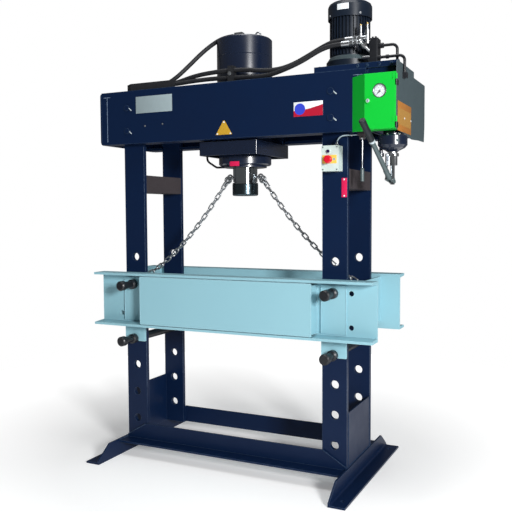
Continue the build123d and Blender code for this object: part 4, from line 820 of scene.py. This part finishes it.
def plates():
    """Plates and labels where the machine carries them, bare or with plain fields of colour."""
    face = BEAM_FACE
    slab_piece("beam_plate", SILVER_PLATE,
               (-555, -313), (face - 1.6, face), (1988, 2082), bevel=0.5)
    shape = bmesh.new()
    outline(shape, [(-37, 1840), (62, 1840), (17, 1915), (9, 1915)], face, 1.2)
    finish_piece("triangle_plate", shape, GOLD_PLATE)
    corners = [((x, face - 1.2, z), FRONT) for x, z in ((-27, 1845), (52, 1845), (13, 1906))]
    rivets("triangle_rivets", corners, 4, 1.6)
    load_plate()
    side_label()
    skin = COLUMN_FACE - 0.8
    slab_piece("column_label", ROSE_PLATE,
               (654, 683), (skin, COLUMN_FACE), (1497, 1594), bevel=0.3)
    rivets("column_label_rivets", [((668, skin, height), FRONT) for height in (1504, 1587)], 4, 1.4)
    for name, centre, radius, turns, z_span, finish, slot, body in (
        ("cylinder_label", (0, 0), CYLINDER_RADIUS, (-98, -76), (1680, 1706),
         ROSE_PLATE, "stop_red", "carriage"),
        ("cowl_plate", MOTOR_AT, COWL_RADIUS, (-106, -75), (2437, 2466),
         WHITE_PLATE, "box_plastic", "frame"),
        ("pump_plate", PUMP_AT, PUMP_RADIUS, (-62, -50), (1759, 1773),
         FINISHES["side_plate_paint"], "side_plate_paint", "frame"),
    ):
        shape = bmesh.new()
        curved_plate(shape, centre, radius, 0.8, turns, z_span)
        finish_piece(name, shape, finish, body)


# Fasteners
def around(centre, reach, height, count, first):
    """Even places round an upright line, from a first angle in degrees, each with the way it faces."""
    places = []
    for step in range(count):
        angle = math.radians(first + 360 * step / count)
        way = Vector((math.cos(angle), math.sin(angle), 0))
        places.append((Vector((*centre, height)) + way * reach, way))
    return places


def pin_clips():
    """Tilted spring clips on both ends of the beam pins."""
    shape = bmesh.new()
    tilt = Matrix.Rotation(math.radians(CLIP_TILT), 4, "Y")
    for x, z in BEAM_PINS:
        for side in (-1, 1):
            clip = bmesh.new()
            slab(clip, (-12, 12), sorted((side * -BEAM_FACE, side * (-BEAM_FACE + 4))), (-3, 3), bevel=1)
            place = Matrix.Translation(Vector((x + 22, 0, z - 9)) * MM)
            bmesh.ops.transform(clip, matrix=place @ tilt, verts=clip.verts)
            made = bpy.data.meshes.new("clip")
            clip.to_mesh(made)
            clip.free()
            shape.from_mesh(made)
            bpy.data.meshes.remove(made)
    finish_piece("pin_clips", shape, CLIP_BRIGHT)


def fasteners():
    """Screws, bolts and clips that are too small for the CAD solids."""
    face, zinc = BEAM_FACE, FINISHES["zinc"]
    lid = [((550, -255, 2147), UP)]
    lid += [((x, face, z), FRONT) for x, z in ((757, 2134), (805, 2133), (865, 2134), (925, 2134))]
    heads("lid_bolts", lid, 6, 5, FINISHES["frame_paint"], "frame_paint")
    beam = [((x, face, z), FRONT) for x, z in ((-495, 1915), (-377, 1920))]
    heads("beam_screws", beam, 4, 2.5, zinc, "zinc", sides=18, top=0.6)
    heads("clamp_bolt", [((30, -243, 2169), FRONT)], 8, 7, zinc, "zinc")
    low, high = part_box("fan_cowl")
    cowl = around(MOTOR_AT, COWL_RADIUS, low.z / MM + 12, 4, 45)
    heads("cowl_screws", cowl, 4, 2.5, zinc, "zinc", sides=18, top=0.6)
    pump = [(place, UP) for place, way in around(PUMP_AT, PUMP_BOLT_REACH, PUMP_TOP, 6, 20)]
    heads("pump_bolts", pump, 6, 8, zinc, "zinc")
    pin_clips()


# Welds
def beam_welds():
    """Seams down the ends of the beam, with a short bead across the top of each, in a lighter navy that is a
    painted highlight.
    """
    seams, ticks = [], []
    foot, top = BEAM_SEAM_Z
    for side in (-1, 1):
        for face in (-1, 1):
            x, y = side * BEAM_SEAM_X, -face * BEAM_FACE
            seams.append(((x, y, foot), (x, y, top)))
            ticks.append(((x - 22, y, top), (x + 22, y, top)))
    beads("beam_seams", seams, 2.4, SEAM_HIGHLIGHT, "frame_paint", pitch=3.6)
    beads("beam_seam_ticks", ticks, 1.8, SEAM_HIGHLIGHT, "frame_paint", pitch=3)


def frame_welds():
    """Beads at the feet and at the ties between the columns."""
    navy = FINISHES["frame_paint"]
    inner, outer = COLUMN_EDGES
    foot = []
    for side in (-1, 1):
        x = side * outer
        foot.append(((x, COLUMN_FACE, 96), (x, -COLUMN_FACE, 96)))
        for face in (-1, 1):
            y = face * REAR_COLUMN_FACE
            foot.append(((x, y, 100), (x, y, 378)))
            foot.append(((x, face * 228, 90), (x, face * 308, 90)))
            foot.append(((side * 560, face * 224, 176), (side * 680, face * 224, 104)))
    beads("foot_welds", foot, 4, navy, "frame_paint")
    ties = []
    for side in (-1, 1):
        for face in (-1, 1):
            for height in TIE_SEAM_Z:
                y = face * 188
                ties.append(((side * (inner + 6), y, height), (side * (outer - 6), y, height)))
    beads("tie_welds", ties, 3, navy, "frame_paint")


def table_welds():
    """Beads round the wear plates, tongues, cross plates and covers of the table."""
    inner, outer = COLUMN_EDGES
    foot, top = WEB_Z
    runs = []
    for face in (-1, 1):
        for side in (-1, 1):
            for x in COLUMN_EDGES:
                runs.append(((side * x, face * 233, foot), (side * x, face * 233, top)))
            runs.append(((side * (inner + 2), face * 232, 767), (side * (outer - 2), face * 232, 767)))
            runs.append(((side * 525, face * 226, foot + 2), (side * 525, face * 226, top - 2)))
            runs.append(((side * 523, face * 312, foot), (side * 523, face * 312, top)))
        for height in COVER_SEAM_Z:
            runs.append(((-520, face * 309, height), (520, face * 309, height)))
    beads("table_welds", runs, 2.6, FINISHES["table_paint"], "table_paint", pitch=3.6)


def cut_edges():
    """Light dotted lines down the edges of the columns: beads in a lighter navy that is a painted highlight.
    """
    inner, outer = COLUMN_EDGES
    front, rear = COLUMN_FACE, REAR_COLUMN_FACE
    runs = []
    for x, y in ((-inner, front), (-inner, rear), (inner, front), (outer, front), (outer, rear)):
        runs.append(((x, y, 1084), (x, y, 1500 if y > 0 else 1800)))
        runs.append(((x, y, 400), (x, y, 660)))
    beads("cut_edges", runs, 1.5, SEAM_HIGHLIGHT, "frame_paint", pitch=7)


# Gauge
def dial_numbers():
    """Plain numbers round the dial."""
    x, z = GAUGE_AT
    numbers = bmesh.new()
    for step in range(0, 11, 2):
        angle = math.radians(225 - 27 * step)
        curve = bpy.data.curves.new("number", "FONT")
        curve.body = str(step * 40)
        curve.size = 5.6 * MM
        curve.extrude = 0.1 * MM
        curve.align_x = "CENTER"
        curve.align_y = "CENTER"
        text = bpy.data.objects.new("number", curve)
        bpy.context.collection.objects.link(text)
        made = baked(text)
        bpy.data.objects.remove(text)
        across, rise = NUMBER_REACH * math.cos(angle), NUMBER_REACH * math.sin(angle)
        place = Vector((x + across, MARK_FACE, z + rise)) * MM
        made.transform(Matrix.Translation(place) @ Matrix.Rotation(math.pi / 2, 4, "X"))
        numbers.from_mesh(made)
    finish_piece("dial_numbers", numbers, DIAL_BLACK)


def gauge():
    """Dial with marks and numbers under a glass."""
    x, z = GAUGE_AT
    disc = [(28.4, 0), (28.4, 0.5)]
    turned_piece("gauge_dial", DIAL_WHITE, disc, (x, DIAL_FACE, z), FRONT, 64)
    centre = tuple(Vector((x, MARK_FACE, z)) * MM)
    for name, radius, count, size in (
        ("dial_long_marks", 24.2, 11, (1.0, 4.6, 0.3)),
        ("dial_short_marks", 25.4, 51, (0.5, 2.4, 0.3)),
    ):
        grow(name, bpy.data.meshes.new(name + "_seed"), MARKS, DIAL_BLACK, "needle_black", "frame",
             Radius=radius * MM, Count=count, Mark_Size=tuple(Vector(size) * MM), Start=-math.pi / 4,
             Sweep=1.5 * math.pi, Centre=centre)
    dial_numbers()
    pane = [(29, 0), (29, 0.5)]
    turned_piece("gauge_glass", GAUGE_GLASS, pane, (x, GLASS_FACE, z), FRONT, 64)
    bezel = [(28.8, 0), (32.9, 0), (32.9, 1.2), (31.6, 2.2), (29.6, 1.6), (28.8, 0.6)]
    turned_piece("gauge_bezel", FINISHES["gauge_white"], bezel, (x, BEZEL_FACE, z), FRONT, 64,
                 bore=True)


# Control box and lock
def box_seam():
    """Seam round the outside of the control box, in four strips clear of the buttons."""
    shape = bmesh.new()
    (left, right), (foot, top) = BOX_X, BOX_Z
    for x_span, z_span in (
        ((left - 0.6, left + 0.2), (foot + 4, top - 4)),
        ((right - 0.2, right + 0.6), (foot + 4, top - 4)),
        ((left + 4, right - 4), (foot - 0.6, foot + 0.2)),
        ((left + 4, right - 4), (top - 0.2, top + 0.6)),
    ):
        slab(shape, x_span, (-256, -254), z_span)
    finish_piece("box_seam", shape, FINISHES["cable_grey"])


def controls():
    """Seam, screws, plate and gland of the control box, and the key lock of the door."""
    box_seam()
    (left, right), (foot, top) = BOX_X, BOX_Z
    screws = [((x, BOX_FACE, z), FRONT) for x in (left + 8, right - 8) for z in (foot + 8, top - 8)]
    heads("box_screws", screws, 3, 1.6, FINISHES["zinc"], "zinc", sides=18, top=0.6, washer=1.2)
    skin = BOX_FACE - 1
    slab_piece("stop_plate", YELLOW_PLATE, (574, 650), (skin, BOX_FACE), (1665, 1707), 0.4)
    spot = [(6.5, 0), (6.5, 0.8), (5.5, 1.2)]
    turned_piece("stop_plate_spot", FINISHES["cable_grey"], spot, (637, skin, 1686), FRONT, 28)
    shape = bmesh.new()
    turned(shape, [(10, 0), (10, 7), (8, 9)], GLAND_AT, UP, sides=6)
    turned(shape, [(6.5, 9), (6.5, 15), (4.5, 19)], GLAND_AT, UP, sides=24)
    turned(shape, [(4.4, -6), (7, -4), (7, 4), (4.4, 6)], (712, -232, 1806), (1, 0.12, 0), sides=24)
    finish_piece("cable_gland", shape, FINISHES["zinc"])
    lock = [(9, 0), (9, 1), (8, 1.6)]
    turned_piece("door_lock", CLIP_BRIGHT, lock, (829, DOOR_FACE, 1951), FRONT, 32, body="door")
    # Black bar on the lock face: painted shade of the keyway.
    slab_piece("lock_slot", FINISHES["needle_black"],
               (828, 830), (DOOR_FACE - 1.9, DOOR_FACE - 1.5), (1946, 1956), body="door")


# Lever, fittings and chains
def ring(shape, centre, along, reach, wire, sides=28):
    """Round ring of wire about a line."""
    section = []
    for step in range(10):
        angle = 2 * math.pi * step / 10
        section.append((reach + wire * math.cos(angle), wire * math.sin(angle)))
    turned(shape, section, centre, along, sides, bore=True)


def shackles():
    """Rings and nuts that hang the chains from the ram."""
    shape = bmesh.new()
    nut = [(7, -15), (8, -14), (8, -9), (4, -9), (4, 9), (8, 9), (8, 14), (7, 15)]
    for side in (-1, 1):
        ring(shape, (side * 111, 0, 1610), (0.15, -1, 0), 17, 6)
        ring(shape, (side * 128, 0, 1588), (side * 0.8, 0.4, 0.45), 12, 5)
        turned(shape, nut, (side * 97, 0, 1624), (0, 1, 0), sides=6)
    finish_piece("ram_rings", shape, FINISHES["zinc"], "ram")


def lever_and_fittings():
    """Collar of the lever's grip, a pale ring on the motor flange that is a painted highlight, shackles,
    brass caps and release grip.
    """
    pivot = Vector(LEVER_PIVOT)
    low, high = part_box("lever_grip")
    way = ((low + high) / 2 / MM - pivot).normalized()
    collar = [(11.7, 0), (14.8, 1), (15.4, 3), (15.4, 9), (14.8, 11), (11.7, 12)]
    turned_piece("grip_collar", CLIP_BRIGHT, collar, pivot + way * COLLAR_REACH, way, 36,
                 bore=True, body="lever")
    # Pale grey ring on the motor flange cone: a painted highlight.
    rim = [(117.5, 2190.2), (119.5, 2190.2), (104.5, 2212.6), (102.5, 2212.6)]
    turned_piece("motor_rim", FINISHES["side_plate_paint"], rim, (*MOTOR_AT, 0), UP, 96,
                 bore=True)
    shackles()
    shape = bmesh.new()
    for place in ((752, -214, 2342), (786, -214, 2346)):
        turned(shape, [(7, 0), (7, 4), (4, 7)], place, UP, sides=20)
    finish_piece("bleed_caps", shape, BRASS)
    sleeve = [(7, 1574), (9.4, 1577), (9.4, 1637), (7, 1640)]
    turned_piece("release_grip", FINISHES["lever_grey"], sleeve, (*RELEASE_AT, 0), UP, 28,
                 body="release_lever")


def chains():
    """Lifting chains: the CAD links as one mesh, riding on the carriage."""
    mesh = nodes["chains"].data.copy()
    mesh.name = "lifting_chains"
    shape = bmesh.new()
    shape.from_mesh(mesh)
    bmesh.ops.remove_doubles(shape, verts=shape.verts, dist=0.00001)
    shape.to_mesh(mesh)
    shape.free()
    piece = settle("lifting_chains", mesh, FINISHES["zinc"], "carriage")
    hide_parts("chains")
    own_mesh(piece)


# Studio
def lay_floor():
    """Round white floor that glows more towards its rim, to meet the white surroundings."""
    shape = bmesh.new()
    bmesh.ops.create_circle(shape, cap_ends=True, segments=96, radius=FLOOR_RADIUS)
    floor_mesh = bpy.data.meshes.new("floor")
    shape.to_mesh(floor_mesh)
    shape.free()
    floor = bpy.data.objects.new("floor", floor_mesh)
    bpy.context.collection.objects.link(floor)
    material, tree, shader = new_material("pale_floor")
    spot = add(tree, "ShaderNodeTexCoord")
    reach = add(tree, "ShaderNodeVectorMath", operation="LENGTH")
    glow = add(tree, "ShaderNodeMapRange")
    glow.inputs["From Min"].default_value = FLOOR_RADIUS / 3
    glow.inputs["From Max"].default_value = FLOOR_RADIUS
    glow.inputs["To Min"].default_value = FLOOR_GLOW[0]
    glow.inputs["To Max"].default_value = FLOOR_GLOW[1]
    tree.links.new(spot.outputs["Object"], reach.inputs[0])
    tree.links.new(reach.outputs["Value"], glow.inputs["Value"])
    tree.links.new(glow.outputs["Result"], shader.inputs["Emission Strength"])
    shader.inputs["Base Color"].default_value = (0.90, 0.90, 0.90, 1)
    shader.inputs["Roughness"].default_value = 0.9
    shader.inputs["Specular IOR Level"].default_value = 0.1
    shader.inputs["Emission Color"].default_value = (1, 1, 1, 1)
    floor_mesh.materials.append(material)


def set_surroundings():
    """World that the camera sees as white, while it lights the press only softly."""
    world = bpy.data.worlds.new("surroundings")
    world.use_nodes = True
    bpy.context.scene.world = world
    tree = world.node_tree
    seen = add(tree, "ShaderNodeLightPath")
    strength = add(tree, "ShaderNodeMapRange")
    strength.inputs["To Min"].default_value = AMBIENT
    strength.inputs["To Max"].default_value = 1.0
    background = tree.nodes["Background"]
    background.inputs["Color"].default_value = (1, 1, 1, 1)
    tree.links.new(seen.outputs["Is Camera Ray"], strength.inputs["Value"])
    tree.links.new(strength.outputs["Result"], background.inputs["Strength"])


def hang_lights():
    """Square lamps, each turned towards its target."""
    for title, place, target, size, power in LIGHTS:
        lamp = bpy.data.lights.new(title, "AREA")
        lamp.size = size
        lamp.energy = power
        light = bpy.data.objects.new(title, lamp)
        bpy.context.collection.objects.link(light)
        light.location = place
        light.rotation_euler = (Vector(target) - Vector(place)).to_track_quat("-Z", "Y").to_euler()


aim_camera()
bpy.context.scene.view_settings.view_transform = "Standard"
for line_name, (line_radius, line_route) in ROUTES.items():
    lay_line(line_name, line_radius, line_route)
dress_nodes()
plates()
fasteners()
beam_welds()
frame_welds()
table_welds()
cut_edges()
gauge()
controls()
lever_and_fittings()
chains()
lay_floor()
set_surroundings()
hang_lights()
